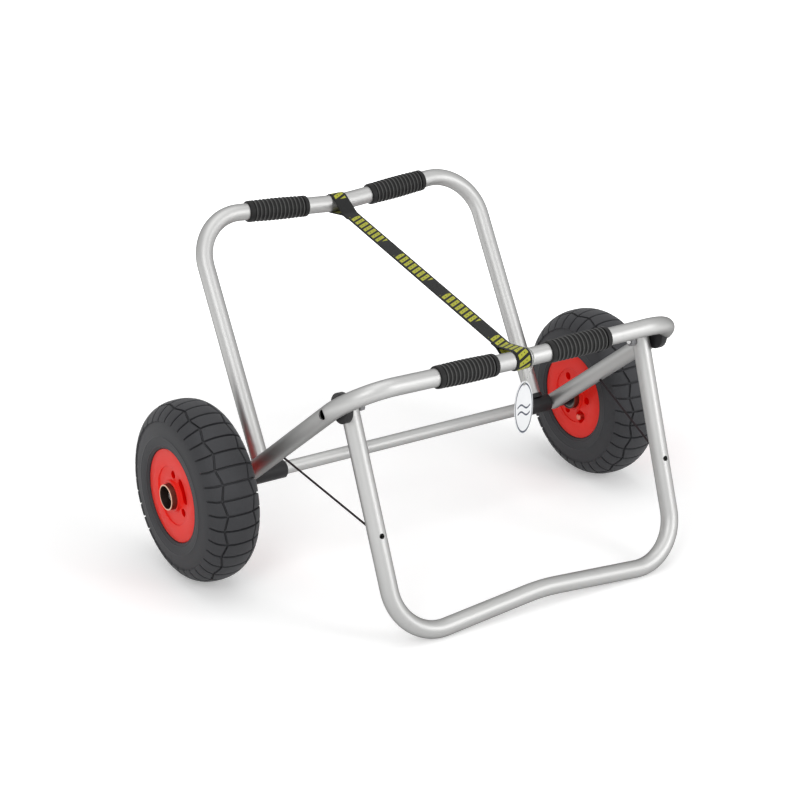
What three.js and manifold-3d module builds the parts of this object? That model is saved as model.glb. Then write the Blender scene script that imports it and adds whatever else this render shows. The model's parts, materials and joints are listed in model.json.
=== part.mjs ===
// A folding two-wheeled kayak cart, in millimetres.
// X runs along the axle, Y to the rear and Z up. The origin is on the floor, under the middle of
// the cart. Two hoops hinge on the axle and a strap holds them apart; a stand hinges on the front one.
import * as THREE from "three";
import { mergeVertices } from "three/addons/utils/BufferGeometryUtils.js";
import Module from "manifold-3d";

const wasm = await Module();
wasm.setup();

// Fits and fineness
const gap = 0.3; // between pieces that touch
const overrun = 6; // how far a cutting tool runs past what it cuts
const tubeSides = 12;
const boreSides = 8;
const smallSides = 8;
const gripSides = 10;
const rimSides = 18;
const tyreSides = 36; // a cross groove of the tread at every second corner
const innerTubeSides = 6;
const innerTubeRingSides = 10;
const bendSteps = 6;
const shallowBendSteps = 2;
const mergeDistance = 0.001;

// Frame tube, the same for the three hoops
const tubeDiameter = 25;
const tubeWall = 2;
const cornerBendRadius = 70;
const frontBendRadius = 65;
const middleBendRadius = 300;

// Front hoop: the widest, and the others take their widths from it
const frontHalfWidth = 275;
const frontReach = 369; // from the axle to the corner of leg and bar, along the leg
const frontDip = 17; // how far the bar's middle lies below its corners
const frontLeanDegrees = 53.1;

// Rear hoop: its legs lean to the rear, inside the front hoop's
const legSpacing = 35; // between the middles of a rear leg and a front leg
const rearReach = 382;
const rearDip = 18;
const rearLeanDegrees = 29.9;

// Stand hoop: its legs draw in a little, and its bar rises in the middle
const standTaper = 8; // from a leg's pivot to its foot
const standRise = 19;
const standLeanDegrees = 20.2;
const pivotClearance = 1.86; // from the front leg's bend down to the pivot

// Axle: a tube with a stub spindle in each end
const spindleShare = 0.6; // of the frame tube's radius
const axleTubeWall = 2;
const spindleInset = 60; // how far a spindle runs into the sleeve and the tube
const sleeveStep = 1; // how far the sleeve stands out past the leg on it
const sleeveReach = 34; // from the rear leg's middle towards the cart's middle
const sleeveEdge = 2.5;
const collarHeight = 17; // above the axle's middle, where the rear leg stands
const spigotLength = 30; // in the rear leg, above the collar
const rivetRise = 16; // above the collar
const rivetRadius = 2.4;
const rivetHeadRadius = 4.8;
const rivetHeadHeight = 2;
const rivetDepth = 8; // in the spigot
const plugLength = 18; // of the plug in a rounded leg end, past the cross hole

// Stand pivots
const discRadius = 21;
const discRise = 13; // from the pivot up the leg to the disc's middle
const discWeb = 5; // between the stand leg and the front leg
const discLip = 5; // beyond the web, beside the front leg
const discClearance = 0.5;
const pivotBoltRadius = 4;
const pivotHeadRadius = 6;
const pivotHeadHeight = 4.5;
const accessRadius = 7;
const pivotNutRadius = 7.4;
const pivotNutHeight = 7.5;

// Grips
const gripLengthShare = 0.688; // of the straight on each side of the rear bar
const rearGripPlaceShare = 0.57; // along its bar's straight, to the grip's middle
const frontGripPlaceShare = 0.4;
const gripWall = 3.1; // at the ends, over the ribs
const gripBulge = 1; // more radius at half length
const gripRibs = 13;
const gripRibDepth = 1.9;
const gripCollar = 7;

// Check cords
const cordRadius = 1.5;
const cordKnotRadius = 3.6;
const cordLegReach = 125; // from the axle, along the front leg
const cordStandReach = 170; // from the pivot, along the stand leg
const standHoleRadius = 3.8;
const standHoleReach = 173;

// Webbing strap
const webbingWidth = 25;
const webbingThickness = 1.6;
const strapLoopReach = 38; // from the bar's middle to the end of the loop's seam
const strapSeam = 10;
const strapPlace = -2; // along X

// Hang tag
const tagWidth = 31;
const tagHeight = 78;
const tagThickness = 1;
const tagHoleRadius = 2;
const tagHoleInset = 5;
const tagDrop = 33; // from the bar's middle to the tag's top
const tagPlace = 7.5; // along X
const stringRadius = 0.6;
const stringPlace = 13.5; // along X, beside the strap
const stringBend = 11;
const stringTurnIn = 8; // below the bar's middle, where the loop's two sides draw in
const stringSteps = 3;
const stringSides = 6;

// Wheels
const wheelRadius = 130;
const wheelSpacerLength = 13.4;
const wheelSpacerWall = 3.5;
const tyreBulge = 5.5; // how far the tyre stands out past the rim's face
const tyreWidestShare = 0.365; // of the way from the flange to the tread
const tyreSquareness = 2.3;
const treadFlat = 9; // half width of the tread's flat middle
const treadThickness = 8;
const grooveWidth = 5; // of the tread's cross grooves
const grooveDepth = 3;
const spreadShares = [0.4, 0.7, 1]; // round the tyre's side, from the tread to its widest place
const sidewallThickness = 4;
const beadThickness = 7.5;
const tubeInset = 9; // from the tyre's side to the inner tube's
const innerTubeWall = 2;
const innerTubeRoom = 4.5;
const rimFace = 37.5; // from the wheel's middle plane to the flange's outer face
const flangeRadius = 67;
const flangeThickness = 3.5;
const flangeRise = 14; // from the tyre's seat to the flange's edge
const barrelWall = 3;
const webThickness = 3.5;
const discStepInset = 10.8; // from the seat in to the line round the rim's sunk face
const discStepDepth = 2;
const bearingRadius = 16;
const hubTubeWall = 2.5;
const hubBossWall = 4;
const hubBossStand = 3; // how far the boss stands out past the rim's face
const hubTubeStand = 8; // how far the hub tube stands out past the boss
const bearingWidth = 9;
const bearingShieldDepth = 0.8;
const bearingRaceWidth = 2.2;
const innerBearingInset = 1; // from the hub tube's inboard end
const outerBearingInset = 15.5; // from its outboard end
const bearingSpacerWall = 2.1;
const washerRadius = 11;
const washerThickness = 1.5;
const wheelBoltRadius = 4;
const wheelBoltLength = 24;
const wheelBoltHeadRadius = 7.4;
const wheelBoltHeadHeight = 5;
const rimHoles = 3;
const rimHoleShare = 0.305; // the holes' radius, of the sunk face's width
const rimHoleCircleShare = 0.455; // across the sunk face, from the boss
const kidneyHalfWidthShare = 0.385;
const kidneyCircleShare = 0.59;
const kidneyHalfSpreadDegrees = 19;
const valvePocketShare = 0.508;
const valveCircleShare = 0.6;
const valveStemRadius = 4;
const valveStemPlace = 14; // inboard of the middle plane, where the stem leaves the tube
const valveStemRise = 8; // past the rim's seat, into the tube
const valveBend = 9;
const valveCapRadius = 4.9;
const valveCapLength = 10;
const valveCapStand = 3; // how far the cap stands out of the rim's inner face
const valveCapSocket = 5;
const leftWheelTurnDegrees = -29.5;
const rightWheelTurnDegrees = -121;

// What follows from those sizes
const tubeRadius = tubeDiameter / 2;
const boreRadius = tubeRadius - tubeWall;
const plugRadius = boreRadius * Math.cos(Math.PI / boreSides) - gap;
const rearLean = THREE.MathUtils.degToRad(rearLeanDegrees);
const frontLean = THREE.MathUtils.degToRad(frontLeanDegrees);
const standLean = THREE.MathUtils.degToRad(standLeanDegrees);
const rearHalfWidth = frontHalfWidth - legSpacing;
const standTopHalfWidth = frontHalfWidth - tubeDiameter - discWeb - 2 * discClearance;
const standFootHalfWidth = standTopHalfWidth - standTaper;
const standPivotReach = frontReach - cornerLeg(frontHalfWidth, frontDip, frontBendRadius) - pivotClearance;
const rearStraight = barStraight(rearHalfWidth, rearDip, cornerBendRadius);
const frontStraight = barStraight(frontHalfWidth, frontDip, frontBendRadius);
const gripLength = gripLengthShare * (rearStraight.to - rearStraight.from);
const gripRadius = tubeRadius + gripWall;
const spindleRadius = spindleShare * tubeRadius;
const axleTubeRadius = spindleRadius + axleTubeWall;
const sleeveRadius = tubeRadius + sleeveStep;
const rivetHeight = collarHeight + rivetRise;
const sleeveInner = rearHalfWidth - sleeveReach;
const sleeveOuter = frontHalfWidth - tubeRadius - gap;
const spacerInner = frontHalfWidth + tubeRadius + gap;
const spacerOuter = spacerInner + wheelSpacerLength;
const hubTubeRadius = bearingRadius + hubTubeWall;
const hubBossRadius = hubTubeRadius + hubBossWall;
const hubBossEnd = rimFace + hubBossStand;
const hubTubeEnd = hubBossEnd + hubTubeStand;
const seatRadius = flangeRadius - flangeRise;
const discStepRadius = seatRadius - discStepInset;
const sunkWidth = discStepRadius - hubBossRadius;
const rimHoleRadius = rimHoleShare * sunkWidth;
const rimHoleCircle = hubBossRadius + rimHoleCircleShare * sunkWidth;
const kidneyHalfWidth = kidneyHalfWidthShare * sunkWidth;
const kidneyCircle = hubBossRadius + kidneyCircleShare * sunkWidth;
const valvePocketRadius = valvePocketShare * sunkWidth;
const valveCircle = hubBossRadius + valveCircleShare * sunkWidth;
const tyreHalfWidth = rimFace + tyreBulge;
const tyreWidestRadius = flangeRadius + tyreWidestShare * (wheelRadius - flangeRadius);
const tubeHalfWidth = tyreHalfWidth - tubeInset;
const halfTrack = spacerOuter + gap + hubTubeEnd - innerBearingInset;
const outerBearingFace = halfTrack + hubTubeEnd - outerBearingInset;
const pivotHeight = wheelRadius + standPivotReach * Math.cos(frontLean);

// How much of each side of a hoop's corner its bend takes
function cornerLeg(halfWidth, dip, bendRadius) {
  return bendRadius * Math.tan(Math.PI / 4 + Math.atan(dip / halfWidth) / 2);
}

// The part of a bar that its bends leave straight on each side of its middle, along X
function barStraight(halfWidth, dip, bendRadius) {
  const slope = Math.atan(dip / halfWidth);
  const from = middleBendRadius * Math.sin(slope);
  const to = halfWidth - cornerLeg(halfWidth, dip, bendRadius) * Math.cos(slope);
  return { from, to };
}

// A round hole's corner radius, for which its flats clear the given radius
function around(radius, sides = tubeSides) {
  return radius / Math.cos(Math.PI / sides);
}

// A closed body for joining and cutting
function solid(geometry) {
  const bare = geometry.index ? geometry.toNonIndexed() : geometry.clone();
  bare.deleteAttribute("normal");
  bare.deleteAttribute("uv");
  const merged = mergeVertices(bare, mergeDistance);
  const corners = merged.index.array;
  const kept = [];
  for (let i = 0; i < corners.length; i += 3) {
    const [a, b, c] = corners.slice(i, i + 3);
    if (a !== b && b !== c && c !== a) kept.push(a, b, c);
  }
  const vertProperties = merged.attributes.position.array;
  return new wasm.Manifold(new wasm.Mesh({ numProp: 3, vertProperties, triVerts: Uint32Array.from(kept) }));
}

function joined(...geometries) {
  return geometryOf(geometries.map(solid).reduce((whole, next) => whole.add(next)));
}

function cut(geometry, ...tools) {
  return geometryOf(tools.map(solid).reduce((rest, tool) => rest.subtract(tool), solid(geometry)));
}

function geometryOf(body) {
  const { vertProperties, triVerts } = body.getMesh();
  const geometry = new THREE.BufferGeometry();
  geometry.setAttribute("position", new THREE.BufferAttribute(new Float32Array(vertProperties), 3));
  geometry.setIndex(new THREE.BufferAttribute(new Uint32Array(triVerts), 1));
  geometry.computeVertexNormals();
  return geometry;
}

// Turns an outline of [place along X, radius] pairs about the X axis
function turned(outline, sides = rimSides) {
  const points = outline.map(([along, radius]) => new THREE.Vector2(radius, along));
  if (THREE.ShapeUtils.area(points) < 0) points.reverse();
  if (points[0].x > 0 || points.at(-1).x > 0) points.push(points[0].clone());
  return new THREE.LatheGeometry(points, sides).rotateZ(-Math.PI / 2);
}

function rodX(radius, from, to, sides = tubeSides) {
  const rod = new THREE.CylinderGeometry(radius, radius, Math.abs(to - from), sides);
  return rod.rotateZ(-Math.PI / 2).translate((from + to) / 2, 0, 0);
}

function rodY(radius, from, to, sides = tubeSides) {
  return new THREE.CylinderGeometry(radius, radius, to - from, sides).translate(0, (from + to) / 2, 0);
}

function rodZ(radius, from, to, sides = tubeSides) {
  const rod = new THREE.CylinderGeometry(radius, radius, to - from, sides);
  return rod.rotateX(Math.PI / 2).translate(0, 0, (from + to) / 2);
}

function polygon(radius, sides) {
  const turn = (2 * Math.PI) / sides;
  return Array.from({ length: sides }, (_, i) => {
    return new THREE.Vector2(radius * Math.cos(i * turn), radius * Math.sin(i * turn));
  });
}

// Straights and round bends through the given corners, stepped only in the bends
class BentLine extends THREE.Curve {
  constructor(corners, bends) {
    super();
    this.stations = [];
    const way = (i) => corners[i + 1].clone().sub(corners[i]).normalize();
    this.note(corners[0], way(0));
    bends.forEach(({ radius, steps }, i) => this.bend(corners[i + 1], way(i), way(i + 1), radius, steps));
    this.note(corners.at(-1), way(corners.length - 2));
  }

  bend(corner, from, to, radius, steps) {
    const turn = from.angleTo(to);
    const axis = from.clone().cross(to).normalize();
    const start = corner.clone().addScaledVector(from, -radius * Math.tan(turn / 2));
    const centre = start.clone().addScaledVector(axis.clone().cross(from), radius);
    for (let k = 0; k <= steps; k++) {
      const angle = (turn * k) / steps;
      const point = start.clone().sub(centre).applyAxisAngle(axis, angle).add(centre);
      this.note(point, from.clone().applyAxisAngle(axis, angle));
    }
  }

  note(point, way) {
    this.stations.push({ point, way });
  }

  get steps() {
    return this.stations.length - 1;
  }

  get middle() {
    return this.stations[this.steps / 2].point;
  }

  getPointAt(share, target = new THREE.Vector3()) {
    return target.copy(this.stations[Math.round(share * this.steps)].point);
  }

  getTangentAt(share, target = new THREE.Vector3()) {
    return target.copy(this.stations[Math.round(share * this.steps)].way);
  }
}

// A tube along a line; without a bore it is a solid rod
function along(line, outerRadius, innerRadius = 0, sides = tubeSides) {
  const section = new THREE.Shape(polygon(outerRadius, sides));
  if (innerRadius > 0) section.holes.push(new THREE.Path(polygon(innerRadius, boreSides)));
  return new THREE.ExtrudeGeometry(section, { steps: line.steps, extrudePath: line });
}

// What rounds a leg's end off: all below the cross hole's middle that lies outside the radius
function endTrim(radius) {
  const side = 2 * (tubeRadius + overrun);
  const block = new THREE.BoxGeometry(side, side, side).translate(0, 0, -side / 2);
  return cut(block, rodX(around(radius), -side, side));
}

// A hoop stands on its legs in the XZ plane; its bar's middle is dropped by dip
function hoopLine({ footHalfWidth, foot, halfWidth, reach, dip, bendRadius }) {
  const at = (x, z) => new THREE.Vector3(x, 0, z);
  const corner = { radius: bendRadius, steps: bendSteps };
  const middle = { radius: middleBendRadius, steps: shallowBendSteps };
  return new BentLine(
    [
      at(-footHalfWidth, foot),
      at(-halfWidth, reach),
      at(0, reach - dip),
      at(halfWidth, reach),
      at(footHalfWidth, foot),
    ],
    [corner, middle, corner],
  );
}

// How far a bend's lowest point lies above its corner, for the ways that leave the corner
function bendRise(leg, bar, radius) {
  const halfAngle = Math.acos(leg.dot(bar)) / 2;
  return radius * (leg.clone().add(bar).normalize().y / Math.sin(halfAngle) - 1);
}

// The stand's reach, from its pivot to the corner, for which its bends touch the floor
function standReachToFloor() {
  const plain = (pivotHeight - tubeRadius) / Math.cos(standLean);
  const leg = new THREE.Vector2(standFootHalfWidth - standTopHalfWidth, plain).normalize();
  const bar = new THREE.Vector2(standFootHalfWidth, standRise).normalize();
  return plain + bendRise(leg, bar, cornerBendRadius);
}

const rearLine = hoopLine({
  footHalfWidth: rearHalfWidth,
  foot: collarHeight + gap,
  halfWidth: rearHalfWidth,
  reach: rearReach,
  dip: rearDip,
  bendRadius: cornerBendRadius,
});
const frontLine = hoopLine({
  footHalfWidth: frontHalfWidth,
  foot: -tubeRadius,
  halfWidth: frontHalfWidth,
  reach: frontReach,
  dip: frontDip,
  bendRadius: frontBendRadius,
});
const standReach = standReachToFloor();
const standSpread = (standTopHalfWidth - standFootHalfWidth) / standReach; // per length of leg
const standLine = hoopLine({
  footHalfWidth: standTopHalfWidth + standSpread * tubeRadius,
  foot: -tubeRadius,
  halfWidth: standFootHalfWidth,
  reach: standReach,
  dip: standRise,
  bendRadius: cornerBendRadius,
});

// Materials
const finish = (color, roughness, metalness = 0) => {
  return new THREE.MeshStandardMaterial({ color, roughness, metalness });
};
const aluminium = finish(0xb9babc, 0.38, 0.9);
const steel = finish(0xa8a9ac, 0.3, 1);
const rubber = finish(0x2b2c2d, 0.8);
const tyreRubber = finish(0x303133, 0.85);
const blackPlastic = finish(0x1d1e20, 0.55);
const redPlastic = finish(0xe23a2e, 0.4);
const webbing = finish(0x26282a, 0.9);
const cordBlack = finish(0x2a2628, 0.85);
const tagWhite = finish(0xf2f3f4, 0.35);
const clearNylon = finish(0xd9dcd8, 0.3);

// Groups: the front frame and the stand turn about their own X axes
const cart = new THREE.Group();
const axle = new THREE.Group();
axle.position.z = wheelRadius;
const rearFrame = new THREE.Group();
rearFrame.rotation.x = -rearLean;
const frontFrame = new THREE.Group();
frontFrame.rotation.x = frontLean;
const stand = new THREE.Group();
stand.position.z = standPivotReach;
stand.rotation.x = Math.PI - standLean - frontLean;
frontFrame.add(stand);
axle.add(rearFrame, frontFrame);
cart.add(axle);

function place(group, name, geometry, material, x = 0, y = 0, z = 0) {
  const mesh = new THREE.Mesh(geometry, material);
  mesh.name = name;
  mesh.position.set(x, y, z);
  group.add(mesh);
  return mesh;
}

// Both sides, named and with the sign of their X
const sides = [
  ["left", -1],
  ["right", 1],
];

// Grips
function gripOutline() {
  const half = gripLength / 2;
  const pitch = (gripLength - 2 * gripCollar) / gripRibs;
  const crown = (x) => gripRadius + gripBulge * Math.cos((Math.PI * x) / gripLength);
  const bore = around(tubeRadius + gap, gripSides);
  const outline = [
    [half, bore],
    [-half, bore],
    [-half, crown(-half) - gripRibDepth / 2],
    [-half + gripCollar / 3, crown(-half)],
  ];
  for (let rib = 0; rib < gripRibs; rib++) {
    const start = -half + gripCollar + rib * pitch;
    const valley = start + pitch / 3;
    outline.push([start, crown(start)], [valley, crown(valley) - gripRibDepth]);
  }
  outline.push([half - gripCollar, crown(half - gripCollar)]);
  outline.push([half - gripCollar / 3, crown(half)]);
  outline.push([half, crown(half) - gripRibDepth / 2]);
  return outline;
}

function addGrips(frame, prefix, straight, placeShare, halfWidth, reach, dip) {
  const placeX = THREE.MathUtils.lerp(straight.from, straight.to, placeShare);
  const slope = Math.atan(dip / halfWidth);
  const height = reach - dip + (dip * placeX) / halfWidth;
  for (const [side, sign] of sides) {
    const grip = turned(gripOutline(), gripSides);
    place(frame, `${prefix}_grip_${side}`, grip, rubber, sign * placeX, 0, height).rotation.y = -sign * slope;
  }
}

// Rear frame: the hoop and the rivets that hold it on the sleeves' spigots
function rivetHole(x) {
  const radius = around(rivetRadius + gap, smallSides);
  const bottom = tubeRadius - rivetDepth - gap;
  return rodY(radius, bottom, tubeRadius + overrun, smallSides).translate(x, 0, rivetHeight);
}

function addRearFrame() {
  const hoop = along(rearLine, tubeRadius, boreRadius);
  const holes = sides.map(([, sign]) => rivetHole(sign * rearHalfWidth));
  place(rearFrame, "rear_hoop", cut(hoop, ...holes), aluminium);
  const headStart = tubeRadius + gap;
  const rivet = [
    [tubeRadius - rivetDepth, 0],
    [tubeRadius - rivetDepth, rivetRadius],
    [headStart, rivetRadius],
    [headStart, rivetHeadRadius],
    [headStart + rivetHeadHeight / 2, rivetHeadRadius],
    [headStart + rivetHeadHeight, rivetRadius],
    [headStart + rivetHeadHeight, 0],
  ];
  for (const [side, sign] of sides) {
    const mesh = place(rearFrame, `leg_rivet_${side}`, turned(rivet, smallSides), steel);
    mesh.position.set(sign * rearHalfWidth, 0, rivetHeight);
    mesh.rotation.z = Math.PI / 2;
  }
  addGrips(rearFrame, "rear", rearStraight, rearGripPlaceShare, rearHalfWidth, rearReach, rearDip);
}

// Axle: tube, sleeves with the rear legs' spigots, stub spindles
function addAxle() {
  const bore = around(spindleRadius + gap);
  const tubeEnd = sleeveOuter - gap;
  const tube = [
    [-tubeEnd, bore],
    [tubeEnd, bore],
    [tubeEnd, axleTubeRadius],
    [-tubeEnd, axleTubeRadius],
  ];
  place(axle, "axle_tube", turned(tube, tubeSides), aluminium);
  for (const [side, sign] of sides) {
    place(rearFrame, `axle_sleeve_${side}`, sleeveGeometry(sign), blackPlastic);
    const spindle = [
      [sleeveOuter - spindleInset, 0],
      [sleeveOuter - spindleInset, spindleRadius],
      [outerBearingFace, spindleRadius],
      [outerBearingFace, around(wheelBoltRadius + gap)],
      [outerBearingFace - wheelBoltLength - gap, around(wheelBoltRadius + gap)],
      [outerBearingFace - wheelBoltLength - gap, 0],
    ];
    const outboard = sideGroup(sign);
    place(outboard, `spindle_${side}`, turned(spindle, tubeSides), steel);
  }
}

function sideGroup(sign) {
  const group = new THREE.Group();
  group.rotation.z = sign < 0 ? Math.PI : 0;
  axle.add(group);
  return group;
}

function sleeveGeometry(sign) {
  const barrel = turned(
    [
      [sign * sleeveInner, 0],
      [sign * sleeveInner, sleeveRadius - sleeveEdge],
      [sign * (sleeveInner + sleeveEdge), sleeveRadius],
      [sign * sleeveOuter, sleeveRadius],
      [sign * sleeveOuter, 0],
    ],
    tubeSides,
  );
  const collar = rodZ(sleeveRadius, 0, collarHeight).translate(sign * rearHalfWidth, 0, 0);
  const spigot = rodZ(plugRadius, 0, collarHeight + spigotLength).translate(sign * rearHalfWidth, 0, 0);
  const innerRadius = around(axleTubeRadius + gap);
  const bore = rodX(innerRadius, sign * (sleeveInner - overrun), sign * (sleeveOuter + overrun));
  return cut(joined(barrel, collar, spigot), bore, rivetHole(sign * rearHalfWidth));
}

// Front frame: hoop with rounded leg ends, plugs, pivot discs and bolts
function addFrontFrame() {
  const tools = [];
  for (const [, sign] of sides) {
    const x = sign * frontHalfWidth;
    tools.push(endTrim(tubeRadius).translate(x, 0, 0));
    tools.push(spindleHole(x));
    const reach = sign * (tubeRadius + overrun);
    tools.push(rodX(around(pivotBoltRadius + gap), x - reach, x).translate(0, 0, standPivotReach));
    tools.push(rodX(accessRadius, x, x + reach).translate(0, 0, standPivotReach));
    tools.push(cordHole(cordLine(sign)).applyMatrix4(standToFront));
  }
  place(frontFrame, "front_hoop", cut(along(frontLine, tubeRadius, boreRadius), ...tools), aluminium);
  for (const [side, sign] of sides) {
    const x = sign * frontHalfWidth;
    const plug = cut(plugGeometry().translate(x, 0, 0), spindleHole(x));
    place(frontFrame, `front_leg_plug_${side}`, plug, aluminium);
    place(frontFrame, `pivot_disc_${side}`, discGeometry(sign), blackPlastic);
  }
  addGrips(frontFrame, "front", frontStraight, frontGripPlaceShare, frontHalfWidth, frontReach, frontDip);
}

function spindleHole(x) {
  const reach = tubeRadius + overrun;
  return rodX(around(spindleRadius + gap), x - reach, x + reach);
}

function plugGeometry() {
  return cut(rodZ(plugRadius, -tubeRadius, plugLength), endTrim(tubeRadius - gap));
}

// A disc whose outboard side is grooved to take the front leg
function discGeometry(sign) {
  const inner = standTopHalfWidth + tubeRadius + discClearance;
  const disc = rodX(discRadius, sign * inner, sign * (inner + discWeb + discLip), rimSides);
  const bolt = rodX(around(pivotBoltRadius + gap), sign * (inner - overrun), sign * (inner + discRadius));
  const leg = along(frontLine, tubeRadius + gap);
  disc.translate(0, 0, discRise);
  return cut(cut(disc, bolt).translate(0, 0, standPivotReach), leg);
}

function addPivotBolts() {
  const headStart = frontHalfWidth - boltSeat + gap;
  const nutStart = standTopHalfWidth - tubeRadius - gap;
  for (const [side, sign] of sides) {
    const group = new THREE.Group();
    group.position.z = standPivotReach;
    group.rotation.z = sign < 0 ? Math.PI : 0;
    frontFrame.add(group);
    const bolt = [
      [nutStart - pivotNutHeight - pivotBoltRadius / 2, 0],
      [nutStart - pivotNutHeight - pivotBoltRadius / 2, pivotBoltRadius],
      [headStart, pivotBoltRadius],
      [headStart, pivotHeadRadius],
      [headStart + pivotHeadHeight / 2, pivotHeadRadius],
      [headStart + pivotHeadHeight, pivotBoltRadius],
      [headStart + pivotHeadHeight, 0],
    ];
    place(group, `pivot_bolt_${side}`, turned(bolt, tubeSides), steel);
    const nutBore = around(pivotBoltRadius + gap);
    const nut = cut(
      rodX(pivotNutRadius, nutStart - pivotNutHeight, nutStart, 6),
      rodX(nutBore, nutStart - pivotNutHeight - overrun, nutStart + overrun),
    );
    place(group, `pivot_nut_${side}`, nut, steel);
  }
}

// How far from the leg's middle the bolt head's edge meets the bore's wall
const boltSeat = Math.sqrt(boreRadius ** 2 - pivotHeadRadius ** 2) * Math.cos(Math.PI / boreSides);

// Stand: hoop with rounded, plugged leg ends
function addStand() {
  const tools = [];
  for (const [, sign] of sides) {
    const x = sign * standTopHalfWidth;
    tools.push(endTrim(tubeRadius).translate(x, 0, 0));
    tools.push(pivotHole(x));
    tools.push(cordHole(cordLine(sign)));
    tools.push(standHole(sign));
  }
  place(stand, "stand_hoop", cut(along(standLine, tubeRadius, boreRadius), ...tools), aluminium);
  for (const [side, sign] of sides) {
    const x = sign * standTopHalfWidth;
    const lean = Math.atan(standSpread);
    const plug = plugGeometry().rotateY(-sign * lean).translate(x, 0, 0);
    place(stand, `stand_leg_plug_${side}`, cut(plug, pivotHole(x)), blackPlastic);
    place(stand, `check_cord_${side}`, cordGeometry(cordLine(sign)), cordBlack);
  }
}

function pivotHole(x) {
  const reach = tubeRadius + overrun;
  return rodX(around(pivotBoltRadius + gap), x - reach, x + reach);
}

// The open hole in the stand leg's front wall
function standHole(sign) {
  const x = sign * (standTopHalfWidth - standSpread * standHoleReach);
  return rodY(standHoleRadius, 0, tubeRadius + overrun, smallSides).translate(x, 0, standHoleReach);
}

// Check cords, in the stand's frame: from the front leg's bore to the stand leg's
const standToFront = new THREE.Matrix4();
stand.updateMatrix();
standToFront.copy(stand.matrix);

function cordLine(sign) {
  const legPoint = new THREE.Vector3(sign * frontHalfWidth, 0, cordLegReach);
  legPoint.applyMatrix4(standToFront.clone().invert());
  const standX = standTopHalfWidth - standSpread * cordStandReach;
  return new THREE.LineCurve3(legPoint, new THREE.Vector3(sign * standX, 0, cordStandReach));
}

// Turns a shape that stands along +Y onto the way between two points
function alongLine(geometry, line) {
  const way = line.v2.clone().sub(line.v1).normalize();
  const turn = new THREE.Quaternion().setFromUnitVectors(new THREE.Vector3(0, 1, 0), way);
  return geometry.applyQuaternion(turn).translate(line.v1.x, line.v1.y, line.v1.z);
}

function cordHole(line) {
  return alongLine(rodY(around(cordRadius + 2 * gap, smallSides), 0, line.getLength(), smallSides), line);
}

function cordGeometry(line) {
  const length = line.getLength();
  const cord = rodY(cordRadius, 0, length, boreSides);
  const knot = new THREE.SphereGeometry(cordKnotRadius, smallSides, smallSides / 2);
  return alongLine(joined(cord, knot, knot.clone().translate(0, length, 0)), line);
}

// Wheel hardware on the spindles
function addSpindleParts() {
  const bore = around(spindleRadius + gap);
  const washerFace = outerBearingFace + gap;
  const headStart = washerFace + washerThickness + gap;
  const ring = (from, to, radius) => [
    [from, bore],
    [to, bore],
    [to, radius],
    [from, radius],
  ];
  const bolt = [
    [outerBearingFace - wheelBoltLength, 0],
    [outerBearingFace - wheelBoltLength, wheelBoltRadius],
    [headStart, wheelBoltRadius],
    [headStart, 0],
  ];
  const washer = [
    [washerFace, around(wheelBoltRadius + gap)],
    [washerFace + washerThickness, around(wheelBoltRadius + gap)],
    [washerFace + washerThickness, washerRadius],
    [washerFace, washerRadius],
  ];
  const head = rodX(wheelBoltHeadRadius, headStart, headStart + wheelBoltHeadHeight, 6);
  for (const [side, sign] of sides) {
    const group = sideGroup(sign);
    const spacer = turned(ring(spacerInner, spacerOuter, spindleRadius + wheelSpacerWall), tubeSides);
    place(group, `wheel_spacer_${side}`, spacer, blackPlastic);
    place(group, `wheel_washer_${side}`, turned(washer, tubeSides), steel);
    place(group, `wheel_bolt_${side}`, joined(turned(bolt, tubeSides), head), steel);
  }
}

// A point on the tyre's rounded side, a share of the way from the tread to its widest place
function bulge(share, halfWidth, rise) {
  const angle = (share * Math.PI) / 2;
  const power = 2 / tyreSquareness;
  const out = tyreWidestRadius + rise * Math.max(Math.cos(angle), 0) ** power;
  return [halfWidth * Math.sin(angle) ** power, out];
}

const tyreRise = wheelRadius - tyreWidestRadius;

// Half of the tread's outline, or of its grooves' bottoms, from the flat out to the widest place
function treadHalf(depth) {
  const flatRadius = (wheelRadius - depth) / Math.cos(Math.PI / tyreSides); // flats meet the true radius
  const sideOf = (share) => bulge(share, tyreHalfWidth - depth, tyreRise - depth);
  return [[treadFlat, flatRadius], ...spreadShares.map(sideOf)];
}

const mirrored = (outline) => outline.map(([x, radius]) => [-x, radius]).reverse();

// Half of the tyre's closed section, from the tread's flat down to the bead and up inside
function tyreOutline() {
  const insideShares = [1, 0.62, 0.3];
  const insideWidth = tyreHalfWidth - sidewallThickness;
  const insideRise = tyreRise - treadThickness;
  const seat = around(seatRadius + gap, rimSides);
  const lip = around(flangeRadius + 2 * gap, tyreSides);
  const beadFace = rimFace - flangeThickness - gap;
  const beadInner = beadFace - beadThickness;
  const half = [
    ...treadHalf(0),
    [tyreHalfWidth - sidewallThickness / 4, (tyreWidestRadius + flangeRadius) / 2],
    [rimFace + gap, lip + gap],
    [beadFace, lip],
    [beadFace, seat],
    [beadInner, seat],
    [beadFace, flangeRadius + sidewallThickness],
    ...insideShares.map((share) => bulge(share, insideWidth, insideRise)),
  ];
  return [...half, ...mirrored(half)];
}

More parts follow.
